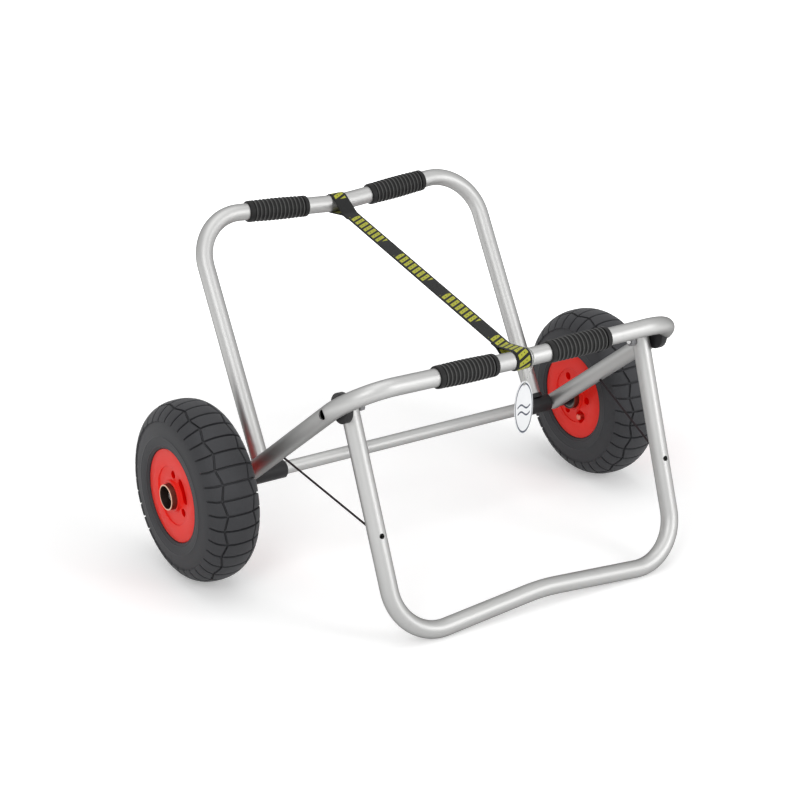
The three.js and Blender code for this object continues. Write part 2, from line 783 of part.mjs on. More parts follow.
// The tyre, in three columns to each corner: a groove's two edges and its bottom. At every other
// corner, away from the tread, and where the groove runs out, the three fall together.
function tyreGeometry() {
  const outline = tyreOutline();
  const bottom = treadHalf(grooveDepth).slice(0, -1);
  const plain = Array.from({ length: outline.length - 2 * bottom.length });
  const bottoms = [...bottom, ...plain, ...mirrored(bottom)];
  const perCorner = 3;
  const columns = perCorner * tyreSides;
  const corners = [];
  const faces = [];
  for (let column = 0; column < columns; column++) {
    const step = Math.floor(column / perCorner);
    const grooved = step % 2 === 0;
    const turn = (step * 2 * Math.PI) / tyreSides;
    const next = (column + 1) % columns;
    outline.forEach((point, row) => {
      const corner = grooveCorner(point, grooved ? bottoms[row] : null, (column % perCorner) - 1);
      corners.push(...corner.applyAxisAngle(new THREE.Vector3(1, 0, 0), turn));
      const below = (row + 1) % outline.length;
      const [a, b] = [column, next].map((at) => at * outline.length + row);
      const [d, c] = [column, next].map((at) => at * outline.length + below);
      faces.push(a, b, c, a, c, d);
    });
  }
  const tyre = new THREE.BufferGeometry();
  tyre.setAttribute("position", new THREE.BufferAttribute(new Float32Array(corners), 3));
  tyre.setIndex(faces);
  return joined(tyre);
}

// A groove's edge on the flat at its side, or its bottom; the outline's own point where it has none
function grooveCorner([x, radius], bottom, side) {
  if (!bottom) return new THREE.Vector3(x, 0, radius);
  if (side === 0) return new THREE.Vector3(bottom[0], 0, bottom[1]);
  const tilt = Math.PI / tyreSides;
  const half = grooveWidth / 2;
  return new THREE.Vector3(x, -side * half * Math.cos(tilt), radius - half * Math.sin(tilt));
}

// Inner tube: an oval ring with a wall, open where the valve goes in
function ovalRing(halfWidth, inner, outer, count) {
  const middle = (inner + outer) / 2;
  return Array.from({ length: count }, (_, i) => {
    const angle = (2 * Math.PI * (i + 0.5)) / count;
    return [halfWidth * Math.cos(angle), middle + (outer - middle) * Math.sin(angle)];
  });
}

function innerTubeGeometry() {
  const inner = around(seatRadius + gap) + innerTubeWall;
  const outer = wheelRadius - treadThickness - innerTubeRoom;
  const skin = turned(ovalRing(tubeHalfWidth, inner, outer, innerTubeSides), innerTubeRingSides);
  const room = turned(
    ovalRing(tubeHalfWidth - innerTubeWall, inner + innerTubeWall, outer - innerTubeWall, innerTubeSides),
    innerTubeRingSides,
  );
  const valve = rodY(around(valveStemRadius + gap), seatRadius, tyreWidestRadius);
  return cut(skin, room, valve.translate(-valveStemPlace, 0, 0));
}

// One half of the rim: hub boss, web, flange and barrel
function rimHalf(sign) {
  const webFace = rimFace - discStepDepth;
  const inner = around(hubTubeRadius + gap, rimSides);
  const outline = [
    [gap / 2, inner],
    [hubBossEnd, inner],
    [hubBossEnd, hubBossRadius],
    [webFace, hubBossRadius],
    [webFace, discStepRadius],
    [rimFace, discStepRadius],
    [rimFace, flangeRadius],
    [rimFace - flangeThickness, flangeRadius],
    [rimFace - flangeThickness, seatRadius],
    [gap / 2, seatRadius],
    [gap / 2, seatRadius - barrelWall],
    [webFace - webThickness, seatRadius - barrelWall],
    [webFace - webThickness, hubBossRadius],
    [gap / 2, hubBossRadius],
  ];
  return turned(outline.map(([x, radius]) => [sign * x, radius]));
}

// The round holes: two beside the valve's opening, which is on +Y, and one across from it
function rimHoleTools(sign) {
  return Array.from({ length: rimHoles }, (_, i) => {
    const angle = ((i + 0.5) * 2 * Math.PI) / rimHoles;
    const hole = rodX(rimHoleRadius, sign * webDepth, sign * (rimFace + overrun), smallSides);
    return hole.translate(0, rimHoleCircle * Math.cos(angle), rimHoleCircle * Math.sin(angle));
  });
}

const webDepth = rimFace - discStepDepth - webThickness - overrun;

// The curved opening in the outer half that gives a hand room at the valve
function kidneyTool() {
  const spread = THREE.MathUtils.degToRad(kidneyHalfSpreadDegrees);
  const shape = new THREE.Shape();
  shape.absarc(0, 0, kidneyCircle + kidneyHalfWidth, -spread, spread, false);
  const turnX = kidneyCircle * Math.cos(spread);
  const turnY = kidneyCircle * Math.sin(spread);
  shape.absarc(turnX, turnY, kidneyHalfWidth, spread, spread + Math.PI, false);
  shape.absarc(0, 0, kidneyCircle - kidneyHalfWidth, spread, -spread, true);
  shape.absarc(turnX, -turnY, kidneyHalfWidth, Math.PI - spread, 2 * Math.PI - spread, false);
  const depth = rimFace + overrun - webDepth;
  const tool = new THREE.ExtrudeGeometry(shape, { depth, bevelEnabled: false, curveSegments: bendSteps / 2 });
  const basis = new THREE.Matrix4().makeBasis(
    new THREE.Vector3(0, 1, 0),
    new THREE.Vector3(0, 0, 1),
    new THREE.Vector3(1, 0, 0),
  );
  return tool.applyMatrix4(basis).translate(webDepth, 0, 0);
}

function rimOuterGeometry() {
  return cut(rimHalf(1), kidneyTool(), ...rimHoleTools(1));
}

function rimInnerGeometry() {
  const pocket = rodX(valvePocketRadius, -webDepth, -(rimFace + overrun));
  pocket.translate(0, valveCircle, 0);
  const stem = rodY(around(valveStemRadius + gap), valveCircle, seatRadius + overrun);
  return cut(rimHalf(-1), pocket, stem.translate(-valveStemPlace, 0, 0), ...rimHoleTools(-1));
}

// Ball bearing as one ring, with the shield of its open side set in between the two races
function bearingOutline(shown, hidden) {
  const shield = shown + Math.sign(hidden - shown) * bearingShieldDepth;
  const bore = around(spindleRadius + gap);
  const innerRace = bore + bearingRaceWidth;
  const outerRace = bearingRadius - bearingRaceWidth;
  return [
    [hidden, bore],
    [shown, bore],
    [shown, innerRace],
    [shield, innerRace],
    [shield, outerRace],
    [shown, outerRace],
    [shown, bearingRadius],
    [hidden, bearingRadius],
  ];
}

// The stem leaves the tube towards the axle and bends round to the rim's inner face
function addValve(wheel, side) {
  const stemEnd = -(rimFace + valveCapStand - valveCapLength + valveCapSocket) + gap;
  const at = (x, y) => new THREE.Vector3(x, y, 0);
  const stem = new BentLine(
    [
      at(-valveStemPlace, around(seatRadius + gap) + valveStemRise),
      at(-valveStemPlace, valveCircle),
      at(stemEnd, valveCircle),
    ],
    [{ radius: valveBend, steps: bendSteps / 2 }],
  );
  place(wheel, `valve_stem_${side}`, along(stem, valveStemRadius, 0, smallSides), rubber);
  const capEnd = -(rimFace + valveCapStand);
  const socket = around(valveStemRadius + gap, smallSides);
  const cap = [
    [capEnd, 0],
    [capEnd, valveCapRadius - gap],
    [capEnd + gap, valveCapRadius],
    [capEnd + valveCapLength, valveCapRadius],
    [capEnd + valveCapLength, socket],
    [capEnd + valveCapLength - valveCapSocket, socket],
    [capEnd + valveCapLength - valveCapSocket, 0],
  ];
  place(wheel, `valve_cap_${side}`, turned(cap, boreSides), steel, 0, valveCircle, 0);
}

// A wheel is built with its outer side on +X
function addWheel(side, sign, turnDegrees) {
  const turn = THREE.MathUtils.degToRad(turnDegrees);
  const wheel = new THREE.Group();
  wheel.position.x = sign * halfTrack;
  wheel.rotation.set(turn, 0, sign < 0 ? Math.PI : 0);
  axle.add(wheel);
  const tyre = place(wheel, `tyre_${side}`, tyreGeometry(), tyreRubber);
  tyre.rotation.x = -sign * turn + Math.PI / tyreSides; // one of its flats meets the floor
  place(wheel, `inner_tube_${side}`, innerTubeGeometry(), rubber);
  place(wheel, `rim_outer_${side}`, rimOuterGeometry(), redPlastic);
  place(wheel, `rim_inner_${side}`, rimInnerGeometry(), redPlastic);
  const seat = around(bearingRadius + gap, rimSides);
  const hubTube = [
    [-hubTubeEnd, seat],
    [hubTubeEnd, seat],
    [hubTubeEnd, hubTubeRadius],
    [-hubTubeEnd, hubTubeRadius],
  ];
  place(wheel, `hub_tube_${side}`, turned(hubTube), steel);
  const innerFace = -hubTubeEnd + innerBearingInset;
  const outerFace = hubTubeEnd - outerBearingInset;
  const innerEnd = innerFace + bearingWidth;
  const outerEnd = outerFace - bearingWidth;
  place(wheel, `bearing_inner_${side}`, turned(bearingOutline(innerFace, innerEnd), tubeSides), steel);
  place(wheel, `bearing_outer_${side}`, turned(bearingOutline(outerFace, outerEnd), tubeSides), steel);
  const spacerBore = around(spindleRadius + gap);
  const spacer = [
    [innerEnd + gap, spacerBore],
    [outerEnd - gap, spacerBore],
    [outerEnd - gap, spindleRadius + bearingSpacerWall],
    [innerEnd + gap, spindleRadius + bearingSpacerWall],
  ];
  place(wheel, `bearing_spacer_${side}`, turned(spacer, tubeSides), steel);
  addValve(wheel, side);
}

// Strap: one piece of webbing, sewn to a loop round each bar
function barMiddle(line, lean) {
  return line.middle.clone().applyAxisAngle(new THREE.Vector3(1, 0, 0), lean);
}

const rearMiddle = barMiddle(rearLine, -rearLean);
const frontMiddle = barMiddle(frontLine, frontLean);

// Puts a shape drawn with X towards the other bar and Z across the webbing in its place
function laidAlong(geometry, from, to) {
  const way = to.clone().sub(from).normalize();
  const across = new THREE.Vector3(1, 0, 0);
  const up = across.clone().cross(way);
  const basis = new THREE.Matrix4().makeBasis(way, up, across).setPosition(from);
  return geometry.translate(0, 0, -webbingWidth / 2).applyMatrix4(basis).translate(strapPlace, 0, 0);
}

function strapLoop() {
  const sag = (webbingWidth / 2 + Math.abs(strapPlace)) ** 2 / (2 * middleBendRadius); // the bar's own bend
  const inner = around(tubeRadius + gap + sag, rimSides);
  const outer = inner + webbingThickness;
  const seamStart = strapLoopReach - strapSeam;
  const outerTouch = Math.acos((outer - webbingThickness) / strapLoopReach);
  const innerTouch = Math.acos(inner / seamStart);
  const shape = new THREE.Shape();
  shape.absarc(0, 0, outer, outerTouch, 2 * Math.PI - outerTouch, false);
  shape.lineTo(strapLoopReach, -webbingThickness);
  shape.lineTo(strapLoopReach, webbingThickness);
  const hole = new THREE.Path();
  hole.absarc(0, 0, inner, innerTouch, 2 * Math.PI - innerTouch, false);
  hole.lineTo(seamStart, 0);
  shape.holes.push(hole);
  const settings = { depth: webbingWidth, bevelEnabled: false, curveSegments: smallSides };
  return new THREE.ExtrudeGeometry(shape, settings);
}

function addStrap() {
  const start = strapLoopReach - strapSeam / 2;
  const length = rearMiddle.distanceTo(frontMiddle) - 2 * start;
  const span = new THREE.BoxGeometry(length, webbingThickness, webbingWidth);
  span.translate(start + length / 2, 0, webbingWidth / 2);
  const strap = joined(
    laidAlong(strapLoop(), rearMiddle, frontMiddle),
    laidAlong(strapLoop(), frontMiddle, rearMiddle),
    laidAlong(span, rearMiddle, frontMiddle),
  );
  place(axle, "tension_strap", strap, webbing);
}

// Hang tag, below the middle of the front bar
function addTag() {
  const group = new THREE.Group();
  group.position.copy(frontMiddle);
  axle.add(group);
  const holeHeight = -tagDrop - tagHoleInset;
  const shape = new THREE.Shape();
  shape.absellipse(0, -tagDrop - tagHeight / 2, tagWidth / 2, tagHeight / 2, 0, 2 * Math.PI);
  const hole = new THREE.Path();
  hole.absarc(0, holeHeight, tagHoleRadius, 0, 2 * Math.PI);
  shape.holes.push(hole);
  const settings = { depth: tagThickness, bevelEnabled: false, curveSegments: gripSides };
  const plate = new THREE.ExtrudeGeometry(shape, settings).translate(0, 0, -tagThickness / 2);
  plate.rotateX(Math.PI / 2);
  place(group, "swing_tag", plate, tagWhite, tagPlace);
  const side = tubeRadius + 2 * gap + stringRadius;
  const low = 1.5 * stringRadius;
  const at = (x, y, z) => new THREE.Vector3(x, y, z);
  const bend = { radius: stringBend, steps: stringSteps };
  const turnIn = { radius: stringTurnIn, steps: stringSteps };
  const loop = new BentLine(
    [
      at(tagPlace, -low, holeHeight),
      at(stringPlace, -side, -stringTurnIn),
      at(stringPlace, -side, side),
      at(stringPlace, side, side),
      at(stringPlace, side, -stringTurnIn),
      at(tagPlace, low, holeHeight),
    ],
    [turnIn, bend, bend, turnIn],
  );
  place(group, "tag_string", along(loop, stringRadius, 0, stringSides), clearNylon);
}

addAxle();
addRearFrame();
addFrontFrame();
addPivotBolts();
addStand();
addSpindleParts();
addWheel("left", -1, leftWheelTurnDegrees);
addWheel("right", 1, rightWheelTurnDegrees);
addStrap();
addTag();

// The origin goes under the middle of the bounding box
cart.updateMatrixWorld(true);
const box = new THREE.Box3().setFromObject(cart, true);
cart.position.y = -(box.min.y + box.max.y) / 2;

export default cart;
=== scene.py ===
import json
import math

import bmesh
import bpy
import numpy as np
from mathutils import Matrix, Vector


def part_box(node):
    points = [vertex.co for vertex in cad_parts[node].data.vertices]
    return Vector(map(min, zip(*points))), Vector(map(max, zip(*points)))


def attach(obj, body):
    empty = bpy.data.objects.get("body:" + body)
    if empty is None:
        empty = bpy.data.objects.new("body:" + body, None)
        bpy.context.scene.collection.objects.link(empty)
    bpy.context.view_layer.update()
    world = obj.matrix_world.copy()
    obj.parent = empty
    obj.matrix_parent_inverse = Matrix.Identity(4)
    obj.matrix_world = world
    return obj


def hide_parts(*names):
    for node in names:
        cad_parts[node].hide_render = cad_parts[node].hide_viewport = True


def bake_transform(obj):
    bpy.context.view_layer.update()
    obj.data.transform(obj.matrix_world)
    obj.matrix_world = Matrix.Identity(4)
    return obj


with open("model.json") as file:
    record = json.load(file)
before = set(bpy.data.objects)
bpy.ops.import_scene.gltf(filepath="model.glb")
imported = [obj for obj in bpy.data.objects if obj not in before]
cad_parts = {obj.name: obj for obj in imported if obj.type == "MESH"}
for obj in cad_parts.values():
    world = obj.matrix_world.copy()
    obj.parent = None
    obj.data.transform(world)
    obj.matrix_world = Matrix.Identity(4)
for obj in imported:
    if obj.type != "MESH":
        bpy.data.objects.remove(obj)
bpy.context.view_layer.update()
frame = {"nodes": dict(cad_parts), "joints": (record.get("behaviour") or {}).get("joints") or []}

MM = 0.001
X_AXIS = np.array([1.0, 0.0, 0.0])
Y_AXIS = np.array([0.0, 1.0, 0.0])
Z_AXIS = np.array([0.0, 0.0, 1.0])
BOTH_SIDES = (("left", -1), ("right", 1))


def joint_point(name):
    """A joint's place at rest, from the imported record."""
    place = next(joint["pos_m"] for joint in frame["joints"] if joint["name"] == name)
    return np.array(place, float)


AXLE = joint_point("frame_fold")
PIVOT = joint_point("stand_fold")

# Driving sizes, as in the solids
GAP = 0.3 * MM
TUBE_RADIUS = 12.5 * MM
TUBE_WALL = 2 * MM
TUBE_BORE = TUBE_RADIUS - TUBE_WALL
CORNER_BEND = 70 * MM
FRONT_BEND = 65 * MM
MIDDLE_BEND = 300 * MM
REAR_HALF_WIDTH = 240 * MM
REAR_REACH = 382 * MM
REAR_DIP = 18 * MM
REAR_LEAN = math.radians(29.9)
FRONT_HALF_WIDTH = 275 * MM
FRONT_REACH = 369 * MM
FRONT_DIP = 17 * MM
FRONT_LEAN = math.radians(53.1)
STAND_TOP_HALF_WIDTH = 244 * MM
STAND_FOOT_HALF_WIDTH = 236 * MM
STAND_RISE = 19 * MM
STAND_LEAN = math.radians(20.2)
PIVOT_REACH = 298 * MM
COLLAR_HEIGHT = 17 * MM
WHEEL_RADIUS = 130 * MM
HALF_TRACK = 349 * MM
SPINDLE_RADIUS = 7.5 * MM
BEARING_RADIUS = 16 * MM
BEARING_RACE = 2.2 * MM
HUB_TUBE_END = 48.5 * MM
HUB_TUBE_RADIUS = 18.5 * MM
RIM_FACE = 37.5 * MM
DISC_STEP_DEPTH = 2 * MM

# Fineness of the surfaces
TUBE_SIDES = 48
ROUND_SIDES = 96
SMALL_SIDES = 32
GRIP_SIDES = 64
RODS_PER_BEND = 24
STRAIGHT_STEP = 22 * MM
SHARP_ANGLE = math.radians(32)
NEARLY_STRAIGHT = math.radians(176)
MERGE_DISTANCE = 1e-6


# Meshes


def mesh_piece(name, points, wrap_rows=True, uv=None):
    """A surface of quads through a grid of points [rows, columns, 3]. Each row closes on itself, and the last
    row joins the first if asked."""
    rows, columns = points.shape[:2]
    row, column = np.meshgrid(np.arange(rows if wrap_rows else rows - 1), np.arange(columns), indexing="ij")
    ahead = (row + 1) % rows
    beside = (column + 1) % columns
    quad = ((row, column), (ahead, column), (ahead, beside), (row, beside))
    corners = np.stack([down * columns + over for down, over in quad], axis=-1).reshape(-1, 4)
    mesh = bpy.data.meshes.new(name)
    mesh.vertices.add(rows * columns)
    mesh.vertices.foreach_set("co", points.reshape(-1).astype(np.float32))
    mesh.loops.add(corners.size)
    mesh.loops.foreach_set("vertex_index", corners.reshape(-1).astype(np.int32))
    mesh.polygons.add(len(corners))
    mesh.polygons.foreach_set("loop_start", (np.arange(len(corners)) * 4).astype(np.int32))
    mesh.update(calc_edges=True)
    if uv is not None:
        layer = mesh.uv_layers.new(name="UVMap")
        layer.data.foreach_set("uv", uv.reshape(-1, 2)[corners.reshape(-1)].reshape(-1).astype(np.float32))
    closed = bmesh.new()
    closed.from_mesh(mesh)
    bmesh.ops.remove_doubles(closed, verts=closed.verts, dist=MERGE_DISTANCE)
    bmesh.ops.recalc_face_normals(closed, faces=closed.faces)
    if closed.calc_volume(signed=True) < 0:
        bmesh.ops.reverse_faces(closed, faces=closed.faces)
    closed.to_mesh(mesh)
    closed.free()
    smooth_shading(mesh)
    piece = bpy.data.objects.new(name, mesh)
    bpy.context.scene.collection.objects.link(piece)
    return piece


def smooth_shading(mesh):
    mesh.polygons.foreach_set("use_smooth", np.ones(len(mesh.polygons), bool))
    mesh.set_sharp_from_angle(angle=SHARP_ANGLE)


def dress(piece, body, finish):
    """Gives a piece its finish's material and the body that it rides on, if one, and hides the solid that it
    stands for: the node named by the piece's own name without the last word."""
    slot, material = finish
    node = piece.name.rpartition("_")[0]
    piece.data.materials.clear()
    piece.data.materials.append(material)
    if body:
        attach(piece, body)
    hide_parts(node)


def combined(piece, *others, operation="DIFFERENCE"):
    """Each of the others is taken out of the piece, or joined to it, and the piece stays as one mesh."""
    for other in others:
        boolean = piece.modifiers.new("cut", "BOOLEAN")
        boolean.operation = operation
        boolean.solver = "EXACT"
        boolean.object = other
    bpy.context.view_layer.update()
    evaluated = piece.evaluated_get(bpy.context.evaluated_depsgraph_get())
    piece.data = bpy.data.meshes.new_from_object(evaluated)
    piece.modifiers.clear()
    smooth_shading(piece.data)
    for other in others:
        bpy.data.objects.remove(other)


def full_turn(sides):
    """Angles evenly round a circle."""
    return np.linspace(0, 2 * math.pi, sides, endpoint=False)


def unit(vectors):
    return vectors / np.linalg.norm(vectors, axis=-1, keepdims=True)


def angle_between(first, second):
    """The angle between two unit vectors."""
    return math.acos(float(np.clip(first @ second, -1, 1)))


def on_circle(angle):
    """Points of the unit circle, at angles from its first axis."""
    return np.stack([np.cos(angle), np.sin(angle)], axis=1)


def around(angle, first, second):
    """Ways at angles from the first of two square axes towards the second."""
    return np.cos(angle) * first + np.sin(angle) * second


def capped(line, rings):
    """Rings along a line, closed by a ring that shrinks to a point at either end."""
    ends = line[[0, -1], None, :].repeat(rings.shape[1], axis=1)
    return np.concatenate([ends[:1], rings, ends[1:]])


def rounded(outline, radius, closed=True):
    """An outline of [along, out] points with each corner rounded off by an arc, as far as its sides allow."""
    points = np.array(outline, float)
    last = len(points) - 1
    result = []
    for i, here in enumerate(points):
        before = points[i - 1] - here
        after = points[(i + 1) % len(points)] - here
        room = 0.45 * min(np.linalg.norm(before), np.linalg.norm(after))
        before = unit(before)
        after = unit(after)
        half = angle_between(before, after) / 2
        if (not closed and i in (0, last)) or half > NEARLY_STRAIGHT / 2:
            result.append(here[None])
            continue
        leg = min(radius / math.tan(half), room)
        centre = here + unit(before + after) * leg / math.cos(half)
        start = here + before * leg - centre
        end = here + after * leg - centre
        share = np.linspace(0, 1, 4)[:, None]
        turn = angle_between(unit(start), unit(end))
        arc = (np.sin((1 - share) * turn) * start + np.sin(share * turn) * end) / math.sin(turn)
        result.append(centre + arc)
    return np.concatenate(result)


def turned_points(outline, centre, axis=X_AXIS, sides=SMALL_SIDES):
    """An outline of [along, out] points carried in a full circle round an axis through centre."""
    across = Z_AXIS if abs(axis @ Z_AXIS) < 0.9 else Y_AXIS
    second = unit(np.cross(axis, across))
    first = np.cross(second, axis)
    angle = full_turn(sides)[None, :, None]
    along, out = np.asarray(outline, float).T[:, :, None, None]
    return centre + along * axis + out * around(angle, first, second)


def turned(name, outline, centre, axis=X_AXIS, sides=SMALL_SIDES):
    """A turned piece. An outline that starts and ends on the axis closes there, any other on itself."""
    on_axis = abs(outline[0][1]) < MERGE_DISTANCE
    return mesh_piece(name, turned_points(outline, centre, axis, sides), wrap_rows=not on_axis)


def rod(radius, start, end):
    """A plain cylinder between two points, for cutting a hole."""
    length = np.linalg.norm(end - start)
    return turned("cutter", [(0, 0), (0, radius), (length, radius), (length, 0)], start, unit(end - start))


# Paths


def bent_path(corners, bends):
    """Points and tangents along a line in a plane, with an arc of the given radius in place of each inner
    corner."""
    corners = np.array(corners, float)
    ways = unit(np.diff(corners, axis=0))
    points = [corners[:1]]
    tangents = [ways[:1]]

    def add_straight(end, way):
        start = points[-1][-1]
        count = math.ceil(np.linalg.norm(end - start) / STRAIGHT_STEP)
        share = np.arange(1, count)[:, None] / count
        points.append(start + share * (end - start))
        tangents.append(np.broadcast_to(way, (len(share), 3)))

    for corner, radius, before, after in zip(corners[1:-1], bends, ways[:-1], ways[1:]):
        turn = angle_between(before, after)
        angle = np.linspace(0, turn, max(4, int(RODS_PER_BEND * min(1, turn))) + 1)[:, None]
        start = corner - before * radius * math.tan(turn / 2)
        add_straight(start, before)
        inward = (after - before * math.cos(turn)) / math.sin(turn)
        points.append(start + radius * (np.sin(angle) * before + (1 - np.cos(angle)) * inward))
        tangents.append(np.cos(angle) * before + np.sin(angle) * inward)
    add_straight(corners[-1], ways[-1])
    points.append(corners[-1:])
    tangents.append(ways[-1:])
    return np.concatenate(points), np.concatenate(tangents)


def ring_points(points, tangents, normal, radius, sides=TUBE_SIDES):
    """Circles of the radius round a flat path, each square to it."""
    angle = full_turn(sides)[None, :, None]
    sideways = np.cross(tangents, normal)[:, None, :]
    return points[:, None, :] + radius * around(angle, sideways, normal)


def hollow_tube(name, hoop, round_ends):
    """A hoop's tube wall. A round end follows a circle of the tube's radius about an axis across the leg."""
    points, tangents = hoop.path
    skins = []
    for radius in (TUBE_RADIUS, TUBE_BORE):
        skin = ring_points(points, tangents, hoop.normal, radius)
        if round_ends:
            off_middle = radius * np.sin(full_turn(TUBE_SIDES)[:, None])
            trim = TUBE_RADIUS - np.sqrt(np.maximum(TUBE_RADIUS**2 - off_middle**2, 0))
            skin[0] += trim * tangents[0]
            skin[-1] -= trim * tangents[-1]
        skins.append(skin)
    return mesh_piece(name, np.concatenate([skins[0], skins[1][::-1]]))


class Hoop:
    """A hoop: its origin between its legs, the way the legs go, its plane's normal, its corners' half width
    and reach along the legs, its bar's dip in the middle, and its middle line as points and tangents."""

    def __init__(self, origin, leg, leg_end, half_width, reach, dip, bend):
        self.origin = origin
        self.leg = np.array(leg)
        self.normal = np.cross(X_AXIS, self.leg)
        self.half_width = half_width
        self.reach = reach
        self.dip = dip
        places = [leg_end, (half_width, reach)]
        left = [self.at(-x, along) for x, along in places]
        right = [self.at(x, along) for x, along in places[::-1]]
        corners = left + [self.at(0, reach - dip)] + right
        self.path = bent_path(corners, (bend, MIDDLE_BEND, bend))

    def at(self, x, reach):
        return self.origin + x * X_AXIS + reach * self.leg

    def middle(self):
        """Where the bar crosses the middle plane."""
        points = self.path[0]
        return points[np.argmin(np.abs(points[:, 0]))]


def stand_reach():
    """From the pivot to the corner, along the leg, so that the bends' lowest points touch the floor."""
    plain = (PIVOT[2] - TUBE_RADIUS) / math.cos(STAND_LEAN)
    leg = unit(np.array([STAND_FOOT_HALF_WIDTH - STAND_TOP_HALF_WIDTH, plain]))
    bar = unit(np.array([STAND_FOOT_HALF_WIDTH, STAND_RISE]))
    middle = unit(leg + bar)
    return plain + CORNER_BEND * (middle[1] / math.sin(angle_between(leg, bar) / 2) - 1)


STAND_REACH = stand_reach()
STAND_SPREAD = (STAND_TOP_HALF_WIDTH - STAND_FOOT_HALF_WIDTH) / STAND_REACH
REAR_LEG = (0, math.sin(REAR_LEAN), math.cos(REAR_LEAN))
FRONT_LEG = (0, -math.sin(FRONT_LEAN), math.cos(FRONT_LEAN))
STAND_LEG = (0, -math.sin(STAND_LEAN), -math.cos(STAND_LEAN))
REAR_END = (REAR_HALF_WIDTH, COLLAR_HEIGHT + GAP)
FRONT_END = (FRONT_HALF_WIDTH, -TUBE_RADIUS)
STAND_END = (STAND_TOP_HALF_WIDTH + STAND_SPREAD * TUBE_RADIUS, -TUBE_RADIUS)
rear = Hoop(AXLE, REAR_LEG, REAR_END, REAR_HALF_WIDTH, REAR_REACH, REAR_DIP, CORNER_BEND)
front = Hoop(AXLE, FRONT_LEG, FRONT_END, FRONT_HALF_WIDTH, FRONT_REACH, FRONT_DIP, FRONT_BEND)
stand = Hoop(PIVOT, STAND_LEG, STAND_END, STAND_FOOT_HALF_WIDTH, STAND_REACH, STAND_RISE, CORNER_BEND)
REAR_MIDDLE = rear.middle()
FRONT_MIDDLE = front.middle()


# Materials: shader maths written as expressions


class Wire:
    """A value or colour on its way through a material's nodes."""

    def __init__(self, finish, socket):
        self.finish = finish
        self.socket = socket

    def maths(self, operation, *others):
        return self.finish.add("Math", {"operation": operation}, self, *others)

    def __add__(self, other):
        return self.maths("ADD", other)

    __radd__ = __add__

    def __mul__(self, other):
        return self.maths("MULTIPLY", other)

    __rmul__ = __mul__

    def __sub__(self, other):
        return self.maths("SUBTRACT", other)

    def __rsub__(self, other):
        return self.finish.add("Math", {"operation": "SUBTRACT"}, other, self)

    def __truediv__(self, other):
        return self.maths("DIVIDE", other)

    def __pow__(self, other):
        return self.maths("POWER", other)

    def __abs__(self):
        return self.maths("ABSOLUTE")

    def sine(self):
        return self.maths("SINE")

    def wave(self):
        """The sine, moved to run from 0 to 1."""
        return (self.sine() + 1.0) * 0.5

    def fraction(self):
        return self.maths("FRACT")

    def root(self):
        return self.maths("SQRT")

    def most(self, other):
        return self.maths("MAXIMUM", other)

    def ramp(self, low, high):
        """0 at low and below, 1 at high and above, smooth in between."""
        settings = {"interpolation_type": "SMOOTHSTEP"}
        return self.finish.add("MapRange", settings, self, low, high, 0.0, 1.0)

    def band(self, rise, top, end, foot):
        """1 from the top to the end, 0 up to the rise and from the foot on."""
        return self.ramp(rise, top) * (1.0 - self.ramp(end, foot))

    def parts(self):
        """The three numbers of a vector."""
        node = self.finish.node("SeparateXYZ", {}, self)
        return [Wire(self.finish, output) for output in node.outputs]


class Finish:
    """A material, or a world, whose nodes are added one by one and joined to its shader."""

    def __init__(self, name, kind="materials", shader="BSDF_PRINCIPLED", **surface):
        self.material = getattr(bpy.data, kind).new(name)
        self.material.use_nodes = True
        self.tree = self.material.node_tree
        self.shader = next(node for node in self.tree.nodes if node.type == shader)
        for socket, value in surface.items():
            self.set(socket.replace("_", " "), value)

    def set(self, socket, value):
        self.join(value, self.shader.inputs[socket])

    def join(self, value, socket):
        if isinstance(value, Wire):
            self.tree.links.new(value.socket, socket)
        elif isinstance(value, tuple) and len(value) == 3 and socket.type == "RGBA":
            socket.default_value = (*value, 1.0)
        else:
            socket.default_value = value

    def node(self, kind, settings, *values, **named):
        node = self.tree.nodes.new("ShaderNode" + kind)
        for name, setting in settings.items():
            setattr(node, name, setting)
        for value, socket in zip(values, node.inputs):
            self.join(value, socket)
        for name, value in named.items():
            self.join(value, node.inputs[name.replace("_", " ")])
        return node

    def add(self, kind, settings, *values, output=0, **named):
        return Wire(self, self.node(kind, settings, *values, **named).outputs[output])

    def place(self):
        """The point on the piece, in metres."""
        return self.add("TexCoord", {}, output=3)

    def map_uv(self):
        return self.add("UVMap", {"uv_map": "UVMap"})

    def noise(self, scale, detail=2.0, roughness=0.5):
        """Smooth noise from 0 to 1; scale is in lumps per metre."""
        return self.add("TexNoise", {}, Vector=self.place(), Scale=scale, Detail=detail, Roughness=roughness)

    def colour_mix(self, share, first, second):
        node = self.node("Mix", {"data_type": "RGBA"})
        self.join(share, node.inputs[0])
        self.join(first, node.inputs[6])
        self.join(second, node.inputs[7])
        return Wire(self, node.outputs[2])

    def value_mix(self, share, first, second):
        return share * (second - first) + first

    def paint(self, share, first, second):
        self.set("Base Color", self.colour_mix(share, first, second))

    def roughen(self, share, first, second):
        self.set("Roughness", self.value_mix(share, first, second))

    def bump(self, height, strength, distance):
        node = self.node("Bump", {}, Height=height, Strength=strength, Distance=distance)
        self.set("Normal", Wire(self, node.outputs[0]))


